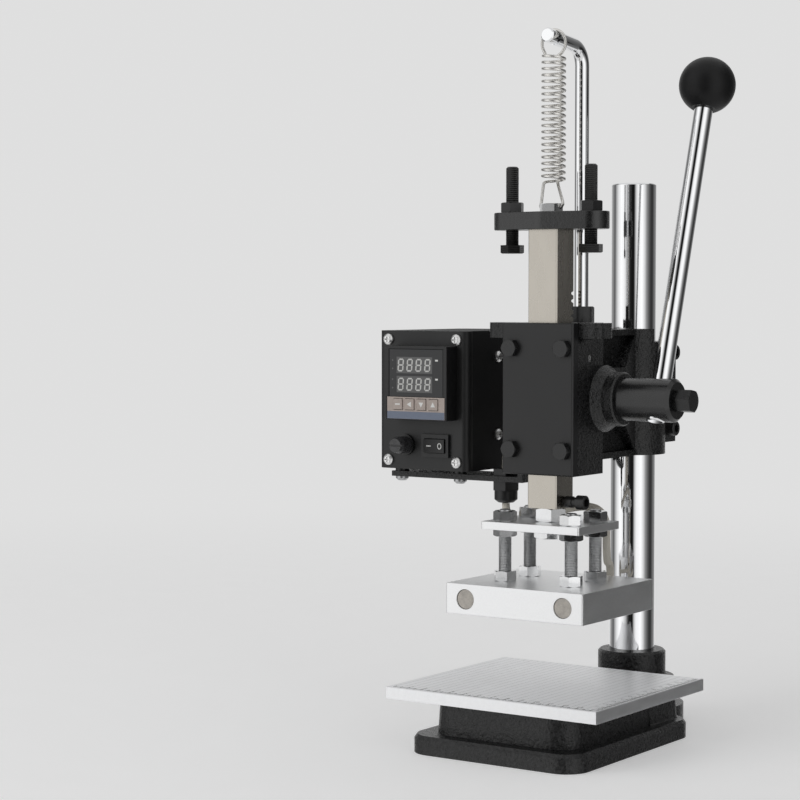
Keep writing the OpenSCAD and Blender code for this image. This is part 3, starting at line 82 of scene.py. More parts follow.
# Materials
class Graph:
    """A node tree, with short calls for the nodes used here."""

    def __init__(self, tree):
        self.tree = tree

    def fill(self, node, inputs):
        """Give inputs, by name or number, their own value or the output that feeds them."""
        for key, value in inputs.items():
            if isinstance(value, bpy.types.NodeSocket):
                self.tree.links.new(value, node.inputs[key])
            else:
                node.inputs[key].default_value = value

    def add(self, kind, inputs=None, **settings):
        node = self.tree.nodes.new(kind)
        for key, value in settings.items():
            setattr(node, key, value)
        self.fill(node, inputs or {})
        return node

    def calc(self, operation, *values):
        """Result of a math node on outputs or plain numbers."""
        return self.add("ShaderNodeMath", dict(enumerate(values)), operation=operation).outputs[0]

    def place(self, scale=(1, 1, 1), source="Object", turn=(0, 0, 0)):
        coords = self.add("ShaderNodeTexCoord").outputs[source]
        mapping = self.add("ShaderNodeMapping", {"Vector": coords, "Scale": scale, "Rotation": turn})
        return mapping.outputs["Vector"]

    def noise(self, where, scale, detail, rough=0.55):
        inputs = {"Vector": where, "Scale": scale, "Detail": detail, "Roughness": rough}
        return self.add("ShaderNodeTexNoise", inputs).outputs["Fac"]

    def wave(self, where, scale, distortion=0.0, **settings):
        inputs = {"Vector": where, "Scale": scale, "Distortion": distortion}
        return self.add("ShaderNodeTexWave", inputs, **settings).outputs["Fac"]

    def ramp(self, fac, stops):
        """Colours between stops, each a position and a colour."""
        node = self.add("ShaderNodeValToRGB", {"Fac": fac})
        elements = node.color_ramp.elements
        for element, (position, colour) in zip(elements, (stops[0], stops[-1])):
            element.position = position
            element.color = (*colour, 1)
        for position, colour in stops[1:-1]:
            elements.new(position).color = (*colour, 1)
        return node.outputs["Color"]

    def span(self, fac, low, high, from_low=0.3, from_high=0.7):
        """Value from low to high as fac goes over its own span."""
        inputs = {"Value": fac, "From Min": from_low, "From Max": from_high, "To Min": low, "To Max": high}
        return self.add("ShaderNodeMapRange", inputs).outputs["Result"]

    def bump(self, height, strength, depth_mm, below=None):
        """Normal of a height, over the normal of an earlier bump."""
        inputs = {"Strength": strength, "Distance": depth_mm * MM, "Height": height}
        if below is not None:
            inputs["Normal"] = below
        return self.add("ShaderNodeBump", inputs).outputs["Normal"]


def material_graph(name):
    """Graph of a new material, with its shader."""
    mat = bpy.data.materials.new(name)
    mat.use_nodes = True
    g = Graph(mat.node_tree)
    g.mat = mat
    g.bsdf = g.tree.nodes["Principled BSDF"]
    return g


def shade(colour, factor):
    return tuple(min(1.0, c * factor) for c in colour)


# The two noises of a surface, and the part of their range that its colour goes over
FINE_SHARE = 0.4
COLOUR_FROM = 0.34
COLOUR_TO = 0.66
LEAST_ROUGH = 0.02
# Length of one band of a wave texture at scale 1, and a thread's depth as a share of its pitch
WAVE_BAND = 0.314159
THREAD_DEPTH = 0.4


def surface(name, colour, rough, metallic=0.0, vary=0.08, rough_vary=0.05, blotch=60, grain=900,
            specular=0.5, bumps=(), stretch=(1, 1, 1), stops=None, thread=0):
    """Material whose colour and roughness wander with a broad noise, blotch, and a fine one, grain.

    Each bump is (scale, strength, depth in mm), stops take the place of the colour, and a thread
    is rings up Z at that pitch in mm.
    """
    g = material_graph(name)
    where = g.place(stretch)
    broad = g.noise(where, blotch, 5)
    fine = g.noise(where, grain, 3)
    mixed = g.calc("MULTIPLY_ADD", fine, FINE_SHARE, g.calc("MULTIPLY", broad, 1 - FINE_SHARE))
    colours = stops or [(COLOUR_FROM, shade(colour, 1 - vary)), (COLOUR_TO, shade(colour, 1 + vary))]
    g.fill(g.bsdf, {
        "Base Color": g.ramp(mixed, colours),
        "Roughness": g.span(mixed, max(LEAST_ROUGH, rough - rough_vary), rough + rough_vary),
        "Metallic": metallic,
        "Specular IOR Level": specular,
    })
    normal = None
    for scale, strength, depth in bumps:
        normal = g.bump(g.noise(where, scale, 3, 0.6), strength, depth, normal)
    if thread:
        rings = g.wave(where, WAVE_BAND / (thread * MM), bands_direction="Z", wave_profile="TRI")
        normal = g.bump(rings, 1.0, THREAD_DEPTH * thread, normal)
    if normal is not None:
        g.fill(g.bsdf, {"Normal": normal})
    return g.mat


# Painted castings and plate, and blackened steel
SAND = [(0.36, (0.002, 0.002, 0.0021)), (0.5, (0.006, 0.0061, 0.0063)), (0.64, (0.026, 0.026, 0.027))]
cast_black = surface(
    "cast_black", None, 0.3, rough_vary=0.1, blotch=420, grain=700, stops=SAND,
    bumps=[(240, 0.5, 0.4), (480, 1.0, 0.6), (900, 1.0, 0.3)])
bar_black = surface(
    "bar_black", (0.014, 0.014, 0.0142), 0.27, vary=0.4, rough_vary=0.1, blotch=300, grain=1300,
    specular=0.7, bumps=[(420, 0.5, 0.25), (1100, 0.7, 0.12)])
cover_black = surface(
    "cover_black", (0.008, 0.008, 0.0085), 0.4, vary=0.14, blotch=25, grain=2600,
    bumps=[(1500, 0.3, 0.03), (140, 0.06, 0.05)])
black_steel = surface(
    "black_steel", (0.014, 0.014, 0.0145), 0.32, vary=0.3, rough_vary=0.1, blotch=240, grain=2200,
    bumps=[(1400, 0.15, 0.03)])
hub_black = surface(
    "hub_black", (0.01, 0.01, 0.0105), 0.26, vary=0.2, rough_vary=0.06, blotch=70, grain=1700,
    specular=0.6, bumps=[(1500, 0.12, 0.02)], stretch=(1, 0.2, 0.2))

# Plated, ground and milled metals, and the blackened stop bolts
chrome = surface(
    "chrome", (0.87, 0.875, 0.885), 0.05, metallic=1.0, vary=0.02, rough_vary=0.02, blotch=35, grain=700)
bolt_black = surface(
    "bolt_black", (0.014, 0.014, 0.0132), 0.34, vary=0.3, rough_vary=0.1, blotch=240, grain=2200,
    thread=1.25)
zinc = surface(
    "zinc", (0.78, 0.785, 0.79), 0.15, metallic=1.0, vary=0.07, rough_vary=0.06, blotch=120, grain=1500,
    bumps=[(240, 0.12, 0.06), (700, 0.06, 0.02)])
zinc_dull = surface(
    "zinc_dull", (0.46, 0.465, 0.47), 0.36, metallic=1.0, vary=0.1, rough_vary=0.06, blotch=120, grain=1500)
zinc_thread = surface(
    "zinc_thread", (0.56, 0.565, 0.57), 0.36, metallic=1.0, vary=0.12, blotch=160, grain=1500,
    rough_vary=0.08, thread=1.0)
screw_satin = surface(
    "screw_satin", (0.84, 0.84, 0.835), 0.4, metallic=1.0, vary=0.05, blotch=200, grain=1500)
spring_steel = surface(
    "spring_steel", (0.78, 0.765, 0.735), 0.3, metallic=1.0, rough_vary=0.06, blotch=200, grain=1500)
ram_steel = surface(
    "ram_steel", (0.485, 0.455, 0.405), 0.27, metallic=1.0, vary=0.07, blotch=26, grain=90,
    stretch=(1.6, 1.6, 0.45))
aluminium = surface(
    "aluminium", (0.87, 0.875, 0.88), 0.38, metallic=1.0, vary=0.05, rough_vary=0.06,
    bumps=[(700, 0.1, 0.02)], stretch=(1, 0.35, 1))
platform_top = surface(
    "platform_top", (0.87, 0.875, 0.885), 0.43, metallic=1.0, vary=0.05, rough_vary=0.06, blotch=110,
    bumps=[(520, 0.12, 0.03)], stretch=(2.4, 0.5, 2.4))

# Moulded and powder-coated black
cap_black = surface(
    "cap_black", (0.045, 0.045, 0.047), 0.28, vary=0.3, rough_vary=0.08, blotch=240, grain=1300,
    bumps=[(700, 0.2, 0.03)])
knob_black = surface(
    "knob_black", (0.01, 0.01, 0.0105), 0.42, vary=0.15, rough_vary=0.04, specular=0.22,
    bumps=[(500, 0.03, 0.02)])
box_black = surface(
    "box_black", (0.004, 0.004, 0.0045), 0.6, vary=0.2, rough_vary=0.06, blotch=50, grain=2400,
    specular=0.3, bumps=[(1900, 0.2, 0.03)])
panel_black = surface(
    "panel_black", (0.009, 0.0092, 0.0095), 0.44, vary=0.14, blotch=40, grain=2400,
    bumps=[(1900, 0.2, 0.03)])
plastic_black = surface(
    "plastic_black", (0.008, 0.008, 0.0085), 0.4, vary=0.12, blotch=80, grain=2600,
    bumps=[(2200, 0.1, 0.015)])

# Display, keys, marks, heater ends and fuse
window_black = surface(
    "window_black", (0.018, 0.0185, 0.02), 0.32, rough_vary=0.04, blotch=50, grain=1800)
digit_back = surface(
    "digit_back", (0.12, 0.12, 0.12), 0.45, vary=0.06, rough_vary=0.04, blotch=200, grain=2000)
digit_pale = surface(
    "digit_pale", (0.66, 0.66, 0.64), 0.4, vary=0.06, rough_vary=0.04, blotch=200, grain=2000)
keypad = surface(
    "keypad", (0.47, 0.40, 0.36), 0.45, vary=0.05, rough_vary=0.04, blotch=120, grain=2400)
band_blue = surface(
    "band_blue", (0.17, 0.20, 0.27), 0.42, vary=0.06, rough_vary=0.04, blotch=120, grain=2400)
mark_white = surface(
    "mark_white", (0.82, 0.82, 0.8), 0.45, vary=0.03, rough_vary=0.04, blotch=200, grain=2000)
mark_dark = surface(
    "mark_dark", (0.035, 0.035, 0.04), 0.5, vary=0.2, blotch=300, grain=2000)
line_grey = surface(
    "line_grey", (0.46, 0.465, 0.475), 0.45, metallic=0.6, vary=0.2, blotch=150, grain=2000)
heater_end = surface(
    "heater_end", (0.42, 0.395, 0.36), 0.42, metallic=0.8, vary=0.25, rough_vary=0.1, blotch=260,
    grain=1500, bumps=[(900, 0.3, 0.05)])
fuse_glass = surface("fuse_glass", (0.75, 0.8, 0.8), 0.08, vary=0.03, rough_vary=0.02)

# Lean in degrees of the sleeve's two sets of strands, and how closely they lie
STRAND_LEAN = 38
STRAND_SCALE = 330


def sleeve_material():
    """Woven glass sleeve: two crossing sets of strands, from the tube's own coordinates."""
    g = material_graph("woven_sleeve")
    strands = []
    for lean in (STRAND_LEAN, -STRAND_LEAN):
        where = g.place(source="UV", turn=(0, 0, math.radians(lean)))
        strands.append(g.wave(where, STRAND_SCALE, distortion=0.4, wave_profile="SIN"))
    weave = g.calc("MAXIMUM", *strands)
    g.fill(g.bsdf, {
        "Base Color": g.ramp(weave, [(0.2, (0.50, 0.46, 0.39)), (0.8, (0.80, 0.76, 0.68))]),
        "Roughness": 0.72,
        "Normal": g.bump(weave, 0.5, 0.15),
    })
    return g.mat


sleeve = sleeve_material()

# Finish of the solids that stay: node, material, rounding of its edges in mm.
# Where the rounding is 0, the node keeps its own smooth faces as they are.
FINISH = [
    ("base_casting", cast_black, 0.8),
    ("column", chrome, 0.4),
    ("column_screw", black_steel, 0.15),
    ("work_platform", platform_top, 0.3),
    ("platform_screws", black_steel, 0.15),
    ("head_casting", cast_black, 0.6),
    ("cover_plate", cover_black, 0.25),
    ("cover_bolts", black_steel, 0.3),
    ("clamp_screws", black_steel, 0.2),
    ("gib_screw", screw_satin, 0.15),
    ("spring_rod", chrome, 0.2),
    ("box_bracket", cast_black, 0.3),
    ("box_spacers", black_steel, 0.1),
    ("bracket_screws", zinc_dull, 0.15),
    ("box_shell", box_black, 0.2),
    ("front_panel", panel_black, 0.3),
    ("panel_screws", screw_satin, 0.12),
    ("wall_screws", screw_satin, 0.12),
    ("relay", plastic_black, 0.4),
    ("mains_inlet", plastic_black, 0.3),
    ("cable_gland", plastic_black, 0.3),
    ("controller_body", plastic_black, 0.5),
    ("display_window", window_black, 0.2),
    ("key_strip", keypad, 0.1),
    ("set_key", keypad, 0.3),
    ("left_key", keypad, 0.3),
    ("down_key", keypad, 0.3),
    ("up_key", keypad, 0.3),
    ("fuse_holder", plastic_black, 0),
    ("fuse_cap", cap_black, 0),
    ("fuse_link", fuse_glass, 0.1),
    ("switch_frame", plastic_black, 0.4),
    ("switch_rocker", plastic_black, 0.3),
    ("pinion_shaft", hub_black, 0),
    ("shaft_retainer", zinc, 0.15),
    ("lever_rod", chrome, 0.2),
    ("ball_knob", knob_black, 0.2),
    ("lever_lock_bolt", black_steel, 0.3),
    ("ram", ram_steel, 0.5),
    ("crossbar", bar_black, 0.6),
    ("crossbar_bolt", zinc, 0.25),
    ("left_stop_bolt", bolt_black, 0.25),
    ("right_stop_bolt", bolt_black, 0.25),
    ("stop_nuts", black_steel, 0.25),
    ("coupling_nut", zinc, 0.25),
    ("plate_bolt", zinc, 0.25),
    ("ram_screw", black_steel, 0.3),
    ("connection_plate", aluminium, 0.25),
    ("studs", zinc_thread, 0.15),
    ("plate_nuts", zinc, 0.2),
    ("block_nuts", zinc, 0.2),
    ("heater_block", aluminium, 0.35),
    ("cartridge_heaters", heater_end, 0.4),
    ("temperature_probe", chrome, 0.15),
]
# Nodes whose flat faces have openings, which a dissolved face would close
OPEN_FLATS = {
    "controller_body", "key_strip", "front_panel", "switch_frame", "box_shell", "display_window",
    "mains_inlet", "cable_gland",
}
WELD_DISTANCE = 2e-6
FLAT_ANGLE = 0.4
EDGE_ANGLE = 27


def dress(node, material, round_mm):
    """Material, and edges rounded by modifiers, on a node that stays."""
    piece = nodes[node]
    mesh = piece.data
    mesh.materials.clear()
    mesh.materials.append(material)
    if not round_mm:
        return
    if "custom_normal" in mesh.attributes:
        mesh.attributes.remove(mesh.attributes["custom_normal"])
    mesh.shade_smooth()
    weld = piece.modifiers.new("weld", "WELD")
    weld.merge_threshold = WELD_DISTANCE
    if node not in OPEN_FLATS:
        flats = piece.modifiers.new("flats", "DECIMATE")
        flats.decimate_type = "DISSOLVE"
        flats.angle_limit = math.radians(FLAT_ANGLE)
    edges = piece.modifiers.new("edges", "BEVEL")
    edges.limit_method = "ANGLE"
    edges.angle_limit = math.radians(EDGE_ANGLE)
    edges.width = round_mm * MM
    edges.segments = 2
    edges.use_clamp_overlap = True
    normals = piece.modifiers.new("normals", "WEIGHTED_NORMAL")
    normals.weight = 60
    normals.keep_sharp = False


for node, material, rounding in FINISH:
    dress(node, material, rounding)


# New pieces
def add_piece(name, mesh, material):
    """Object that shows the mesh in that material."""
    piece = bpy.data.objects.new(name, mesh)
    bpy.context.scene.collection.objects.link(piece)
    mesh.materials.append(material)
    return piece


def put(name, mesh, material, body):
    """Piece that rides on a body."""
    piece = add_piece(name, mesh, material)
    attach(piece, body)
    return piece


def mesh_from(bm, name):
    """Mesh of that name from the working one, which is freed."""
    mesh = bpy.data.meshes.new(name)
    bm.to_mesh(mesh)
    bm.free()
    return mesh


def smooth(mesh, sharp):
    """Smooth shading, but for edges over that many degrees."""
    mesh.shade_smooth()
    mesh.set_sharp_from_angle(angle=math.radians(sharp))


def wall(bm, low, high):
    """Faces between two rings of as many corners, in order."""
    faces = []
    for i in range(len(low)):
        j = (i + 1) % len(low)
        faces.append(bm.faces.new((low[i], low[j], high[j], high[i])))
    return faces


# Tubes
TUBE_SHARP = 40


def sweep(path, radius, sides, start=(0, 0, 1)):
    """A closed tube along points in metres, with coordinates that run round and along it."""
    bm = bmesh.new()
    uv = bm.loops.layers.uv.new("UVMap")
    side = Vector(start)
    turns = [2 * math.pi * k / sides for k in range(sides)]
    rings = []
    run = [0.0]
    for i, p in enumerate(path):
        if i:
            run.append(run[-1] + (p - path[i - 1]).length)
        heading = (path[min(i + 1, len(path) - 1)] - path[max(i - 1, 0)]).normalized()
        side = (side - heading * side.dot(heading)).normalized()
        across = heading.cross(side)
        ring = [p + radius * (math.cos(a) * side + math.sin(a) * across) for a in turns]
        rings.append([bm.verts.new(point) for point in ring])
    round_len = 2 * math.pi * radius
    for i in range(len(path) - 1):
        for k, face in enumerate(wall(bm, rings[i], rings[i + 1])):
            corners = [(k, i), (k + 1, i), (k + 1, i + 1), (k, i + 1)]
            for loop, (a, b) in zip(face.loops, corners):
                loop[uv].uv = (a / sides * round_len, run[b])
    bm.faces.new(list(reversed(rings[0])))
    bm.faces.new(rings[-1])
    bmesh.ops.recalc_face_normals(bm, faces=bm.faces)
    mesh = mesh_from(bm, "tube")
    smooth(mesh, TUBE_SHARP)
    return mesh


def curved(points, step=0.0012):
    """Points of a smooth line through the given ones, about a step apart in their unit."""
    pts = [Vector(p) for p in points]
    out = []
    for i in range(len(pts) - 1):
        a, b = pts[max(i - 1, 0)], pts[i]
        c, d = pts[i + 1], pts[min(i + 2, len(pts) - 1)]
        n = max(2, int((c - b).length / step))
        for k in range(n):
            t = k / n
            out.append(0.5 * ((2 * b) + (c - a) * t + (2 * a - 5 * b + 4 * c - d) * t * t
                              + (3 * b - a - 3 * c + d) * t ** 3))
    out.append(pts[-1])
    return out


# Return spring, from the same rules as its solid: eye on the rod, open turns, hook on the bolt
WIRE = 0.95
COIL = 6.9
EYE = 8.4
SPRING_Y = 2.5
EYE_Z = 439.884
HOOK_Z = 338.0
COIL_TOP = EYE_Z - EYE + WIRE
COIL_BOT = HOOK_Z + 16
TURNS = 20
# Angles in degrees: the eye's two ends, where the coil's height starts, and the coil's two ends
EYE_FROM = -70
EYE_TO = 204
COIL_ZERO = 180
COIL_FROM = 225
COIL_TO = COIL_ZERO + 360 * TURNS - 22
# Degrees from point to point, and those that the crossing from eye to coil takes of each
EYE_STEP = 6
COIL_STEP = 15
EYE_SHARE = 60
COIL_SHARE = 75
CROSSING_STEPS = 8
HOOK_STEP = 0.6
WIRE_SIDES = 12


def eye(degrees):
    a = math.radians(degrees)
    return Vector((EYE * math.cos(a), SPRING_Y, EYE_Z + EYE * math.sin(a)))


def coil(degrees):
    a = math.radians(degrees)
    drop = (COIL_TOP - COIL_BOT) * (degrees - COIL_ZERO) / (360 * TURNS)
    return Vector((COIL * math.cos(a), SPRING_Y + COIL * math.sin(a), COIL_TOP - drop))


def crossing(s):
    """Point of the way from the eye, at 0, into the first turn, at 1."""
    ease = s * s * (3 - 2 * s)
    return eye(EYE_TO + EYE_SHARE * s) * (1 - ease) + coil(COIL_FROM - COIL_SHARE * (1 - s)) * ease


HOOK = [
    (-COIL + 0.3, SPRING_Y + 0.8, COIL_BOT - 0.3),
    (-COIL - 0.3, SPRING_Y, COIL_BOT - 2),
    (-COIL - 0.9, 1, HOOK_Z + 3),
    (-COIL - 0.9, 0, HOOK_Z + 0.9),
    (-COIL + 0.2, 0, HOOK_Z),
    (0, 0, HOOK_Z),
    (COIL - 0.2, 0, HOOK_Z),
    (COIL + 0.9, 0, HOOK_Z + 0.9),
    (COIL + 1, 0.6, HOOK_Z + 3),
    (0.6, SPRING_Y + COIL - 1.8, COIL_BOT - 2.4),
    (-0.6, SPRING_Y + COIL - 0.6, COIL_BOT + 0.4),
]
spring_line = [eye(a) for a in range(EYE_FROM, EYE_TO, EYE_STEP)]
spring_line += [crossing(k / CROSSING_STEPS) for k in range(1, CROSSING_STEPS)]
spring_line += [coil(a) for a in range(COIL_FROM, COIL_TO, COIL_STEP)]
spring_line += curved([spring_line[-1], *HOOK], HOOK_STEP)[1:]
spring_mesh = sweep([p * MM for p in spring_line], WIRE * MM, WIRE_SIDES, (0, 1, 0))
spring = add_piece("return_spring_wire", spring_mesh, spring_steel)
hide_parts("return_spring")
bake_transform(spring)

# Sleeved lead from the gland to the tails behind the block
SLEEVE_RADIUS = 2.5
SLEEVE_SIDES = 20
LEAD = [
    (-44, 18, 149), (-44, 18, 146.5), (-43.3, 19.1, 142), (-41.3, 22.2, 138.3), (-38.5, 26.4, 137),
    (-34.2, 30.3, 137.5), (-28.5, 31.8, 139), (-21, 32.2, 141.5), (-13, 32.3, 144.3), (-5, 32.1, 146.5),
    (3, 31.6, 148), (11, 31, 148.5), (16.7, 31.1, 147), (21, 31.3, 142.8), (22.5, 31.5, 137),
    (22.5, 31.8, 130), (22.5, 32, 124), (21.9, 33.5, 118), (20.1, 37.5, 113.6), (17.7, 43, 112),
    (15.4, 48.5, 110.4), (13.6, 52.6, 106), (13.07, 53.85, 100.67),
]
lead_path = curved([mm(*p) for p in LEAD])
lead_mesh = sweep(lead_path, SLEEVE_RADIUS * MM, SLEEVE_SIDES, (1, 0, 0))
lead = add_piece("heater_lead_sleeve", lead_mesh, sleeve)
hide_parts("heater_lead")
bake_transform(lead)

# The same sleeve from the gland up into the box
BOX_LEAD = [
    (-44, 18, 170), (-44, 18, 178), (-44, 19, 184), (-44, 22, 190), (-44.5, 27, 195),
    (-45, 34, 198.5), (-46, 42, 200), (-48, 50, 200), (-52, 56, 200), (-57, 60, 200), (-64, 61, 200),
]
box_path = curved([mm(*p) for p in BOX_LEAD])
box_mesh = sweep(box_path, SLEEVE_RADIUS * MM, SLEEVE_SIDES, (1, 0, 0))
box_lead = put("box_lead_sleeve", box_mesh, sleeve, "head")
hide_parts("box_lead")

# Tails of the two heaters, gathered in a collar at the lead's lower end
heaters_low, heaters_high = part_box("cartridge_heaters")
HEATER_X = 35
TAIL_Y = 44.2
TAIL_Z = (heaters_low.z + heaters_high.z) / 2 / MM
TAIL_RADIUS = 1.4
TAIL_SIDES = 14
COLLAR = (13, 54, 92)
COLLAR_HEIGHTS = (0, 0.3, 0.8, 4, 7.2, 7.7, 8)
COLLAR_RADIUS = 4.5
COLLAR_SIDES = 24


def tail_path(side):
    """Way of the left (-1) or right (1) heater's tail to the collar."""
    points = [
        (side * HEATER_X, TAIL_Y + 2, TAIL_Z),
        (side * HEATER_X, TAIL_Y + 5, TAIL_Z),
        (side * 33, TAIL_Y + 9.5, TAIL_Z),
        (side * 27, TAIL_Y + 12.5, TAIL_Z - side * 0.5),
        (side * 9 + 8, TAIL_Y + 13, TAIL_Z - side * 2),
        (COLLAR[0] + side * COLLAR_RADIUS, TAIL_Y + 10.5, TAIL_Z + 1.5),
    ]
    return curved([mm(*p) for p in points])


bm = bmesh.new()
for side in (-1, 1):
    bm.from_mesh(sweep(tail_path(side), TAIL_RADIUS * MM, TAIL_SIDES, (0, 0, 1)))
collar_path = [mm(COLLAR[0], COLLAR[1], COLLAR[2] + h) for h in COLLAR_HEIGHTS]
bm.from_mesh(sweep(collar_path, COLLAR_RADIUS * MM, COLLAR_SIDES, (1, 0, 0)))
tail_mesh = mesh_from(bm, "tails")
smooth(tail_mesh, TUBE_SHARP)
tail_piece = put("heater_tail_sleeves", tail_mesh, sleeve, "ram_group")
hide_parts("heater_tails")


# Fuller forms over or for the solids
def loft(name, rings, material, body, sharp):
    """Closed skin through rings of points in millimetres, each with as many points."""
    bm = bmesh.new()
    layers = [[bm.verts.new(mm(*p)) for p in ring] for ring in rings]
    for low, high in zip(layers, layers[1:]):
        wall(bm, low, high)
    bm.faces.new(list(reversed(layers[0])))
    bm.faces.new(layers[-1])
    bmesh.ops.recalc_face_normals(bm, faces=bm.faces)
    mesh = mesh_from(bm, name)
    smooth(mesh, sharp)
    return put(name, mesh, material, body)


# The plinth's rear end, which reaches further back than the solid's, under the platform
PLINTH_HALF = 52.05
PLINTH_FRONT = 36
PLINTH_BACK = 78
PLINTH_CORNER = 8
CORNER_STEPS = 8
plinth_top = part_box("work_platform")[0].z / MM
# Going up: how far the outline is drawn in, and its height
PLINTH_RISE = [(-0.9, 11.3), (-0.3, 11.9), (0, 12.9), (1.3, plinth_top - 1.2), (1.7, plinth_top - 0.1)]


def plinth_ring(inset, z):
    """Outline with square front corners and rounded rear ones."""
    half = PLINTH_HALF - inset
    back = PLINTH_BACK - inset
    radius = PLINTH_CORNER - inset
    ring = [(-half, PLINTH_FRONT, z), (half, PLINTH_FRONT, z)]
    for centre, start in ((half - radius, 0), (radius - half, 90)):
        for k in range(CORNER_STEPS + 1):
            a = math.radians(start + k * 90 / CORNER_STEPS)
            ring.append((centre + radius * math.cos(a), back - radius + radius * math.sin(a), z))
    return ring


plinth_rings = [plinth_ring(inset, z) for inset, z in PLINTH_RISE]
plinth_rear = loft("plinth_rear", plinth_rings, cast_black, "base", sharp=30)

# The rod's nut, which stands higher than its solid
nut_low, nut_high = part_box("rod_nut")
NUT_X = (nut_low.x + nut_high.x) / 2 / MM
NUT_Y = (nut_low.y + nut_high.y) / 2 / MM
NUT_SEAT = nut_low.z / MM
NUT_HEIGHT = 15
NUT_FLATS = 15
NUT_TURN = 12
NUT_POINTS = 36
# Radii at its corners and at its two ends, and how far down and up the ends' bevels reach
NUT_CORNER = 8.66
NUT_END = 7.6
BEVEL_LOW = 0.7
BEVEL_HIGH = 0.8


def nut_ring(radius, height):
    """A hexagon of the nut's width across flats, cut by a circle of that radius."""
    sixth = math.pi / 3
    turn = math.radians(NUT_TURN)
    ring = []
    for k in range(NUT_POINTS):
        a = 2 * math.pi * k / NUT_POINTS
        flat = turn + sixth * round((a - turn) / sixth)
        r = min(NUT_FLATS / 2 / math.cos(a - flat), radius)
        ring.append((NUT_X + r * math.cos(a), NUT_Y + r * math.sin(a), NUT_SEAT + height))
    return ring


nut_rings = [
    nut_ring(NUT_END, 0), nut_ring(NUT_CORNER, BEVEL_LOW),
    nut_ring(NUT_CORNER, NUT_HEIGHT - BEVEL_HIGH), nut_ring(NUT_END, NUT_HEIGHT),
]
rod_nut = loft("rod_nut_high", nut_rings, black_steel, "head", sharp=20)
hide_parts("rod_nut")


# Flat marks
def plates(name, outlines, material, body, plane, thickness):
    """Thin raised outlines in millimetres, drawn in a plane that the matrix puts in place."""
    bm = bmesh.new()
    for outline in outlines:
        low = [bm.verts.new(plane @ Vector((x * MM, y * MM, 0))) for x, y in outline]
        high = [bm.verts.new(plane @ Vector((x * MM, y * MM, thickness * MM))) for x, y in outline]
        bm.faces.new(high)
        bm.faces.new(list(reversed(low)))
        wall(bm, low, high)
    bmesh.ops.recalc_face_normals(bm, faces=bm.faces)
    return put(name, mesh_from(bm, name), material, body)


def strip(x0, y0, x1, y1):
    return [(x0, y0), (x1, y0), (x1, y1), (x0, y1)]


def on_front(y_mm):
    """Plane facing the viewer at that Y, with X right and Z up."""
    return Matrix(((1, 0, 0, 0), (0, 0, -1, y_mm * MM), (0, 1, 0, 0), (0, 0, 0, 1)))


def on_top(z_mm):
    return Matrix.Translation((0, 0, z_mm * MM))


# Ruler on the platform: a line every 5 mm, and marks along the front and the right edge
top_low, top_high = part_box("work_platform")
FRONT = top_low.y / MM
BACK = top_high.y / MM
HALF = top_high.x / MM
TOP = top_high.z / MM
RULER_HALF = 70
LINE_HALF = 0.13
LINE_FRONT = FRONT + 6
LINE_BACK = BACK - 3
MARK_INSET = 1
DEPTH_START = FRONT + 5
DEPTH_MARKS = int(BACK - FRONT) - 8


def mark_size(k):
    """Length and half the width of the mark at k millimetres."""
    if k % 10 == 0:
        return 4.2, 0.36
    if k % 5 == 0:
        return 3.2, 0.36
    return 2.2, 0.12


rules = []
for x in range(-RULER_HALF, RULER_HALF + 1, 5):
    rules.append(strip(x - LINE_HALF, LINE_FRONT, x + LINE_HALF, LINE_BACK))
plates("ruler_lines", rules, line_grey, "base", on_top(TOP), thickness=0.02)
ticks = []
for k in range(2 * RULER_HALF + 1):
    x = k - RULER_HALF
    reach, half = mark_size(k)
    ticks.append(strip(x - half, FRONT + MARK_INSET, x + half, FRONT + MARK_INSET + reach))
for k in range(DEPTH_MARKS):
    y = DEPTH_START + k
    reach, half = mark_size(k)
    ticks.append(strip(HALF - MARK_INSET - reach, y - half, HALF - MARK_INSET, y + half))
plates("ruler_ticks", ticks, mark_dark, "base", on_top(TOP), thickness=0.03)

# Numbers on the ruler, in centimetres
NUMBER_SIZE = 4.2
NUMBER_LIFT = 0.03
NUMBER_Y = FRONT + 7.2
NUMBER_X = HALF - 7.4


def number_mesh(text, place):
    """Flat mesh of a number, lifted off the plane that the matrix puts it in."""
    curve = bpy.data.curves.new("number", "FONT")
    curve.body = text
    curve.size = NUMBER_SIZE * MM
    curve.align_x = "CENTER"
    curve.align_y = "CENTER"
    curve.resolution_u = 3
    holder = bpy.data.objects.new("number", curve)
    bpy.context.scene.collection.objects.link(holder)
    graph = bpy.context.evaluated_depsgraph_get()
    mesh = bpy.data.meshes.new_from_object(holder.evaluated_get(graph))
    mesh.transform(place @ Matrix.Translation((0, 0, NUMBER_LIFT * MM)))
    bpy.data.objects.remove(holder)
    return mesh


places = []
for k in range(1, 2 * RULER_HALF // 10):
    places.append((k, Matrix.Translation(mm(k * 10 - RULER_HALF, NUMBER_Y, TOP))))
quarter_turn = Matrix.Rotation(math.radians(90), 4, "Z")
for k in range(1, DEPTH_MARKS // 10 + 1):
    places.append((k, Matrix.Translation(mm(NUMBER_X, DEPTH_START + 10 * k, TOP)) @ quarter_turn))
bm = bmesh.new()
for k, place in places:
    mesh = number_mesh(str(k), place)
    bm.from_mesh(mesh)
    bpy.data.meshes.remove(mesh)
put("ruler_numbers", mesh_from(bm, "ruler_numbers"), mark_dark, "base")

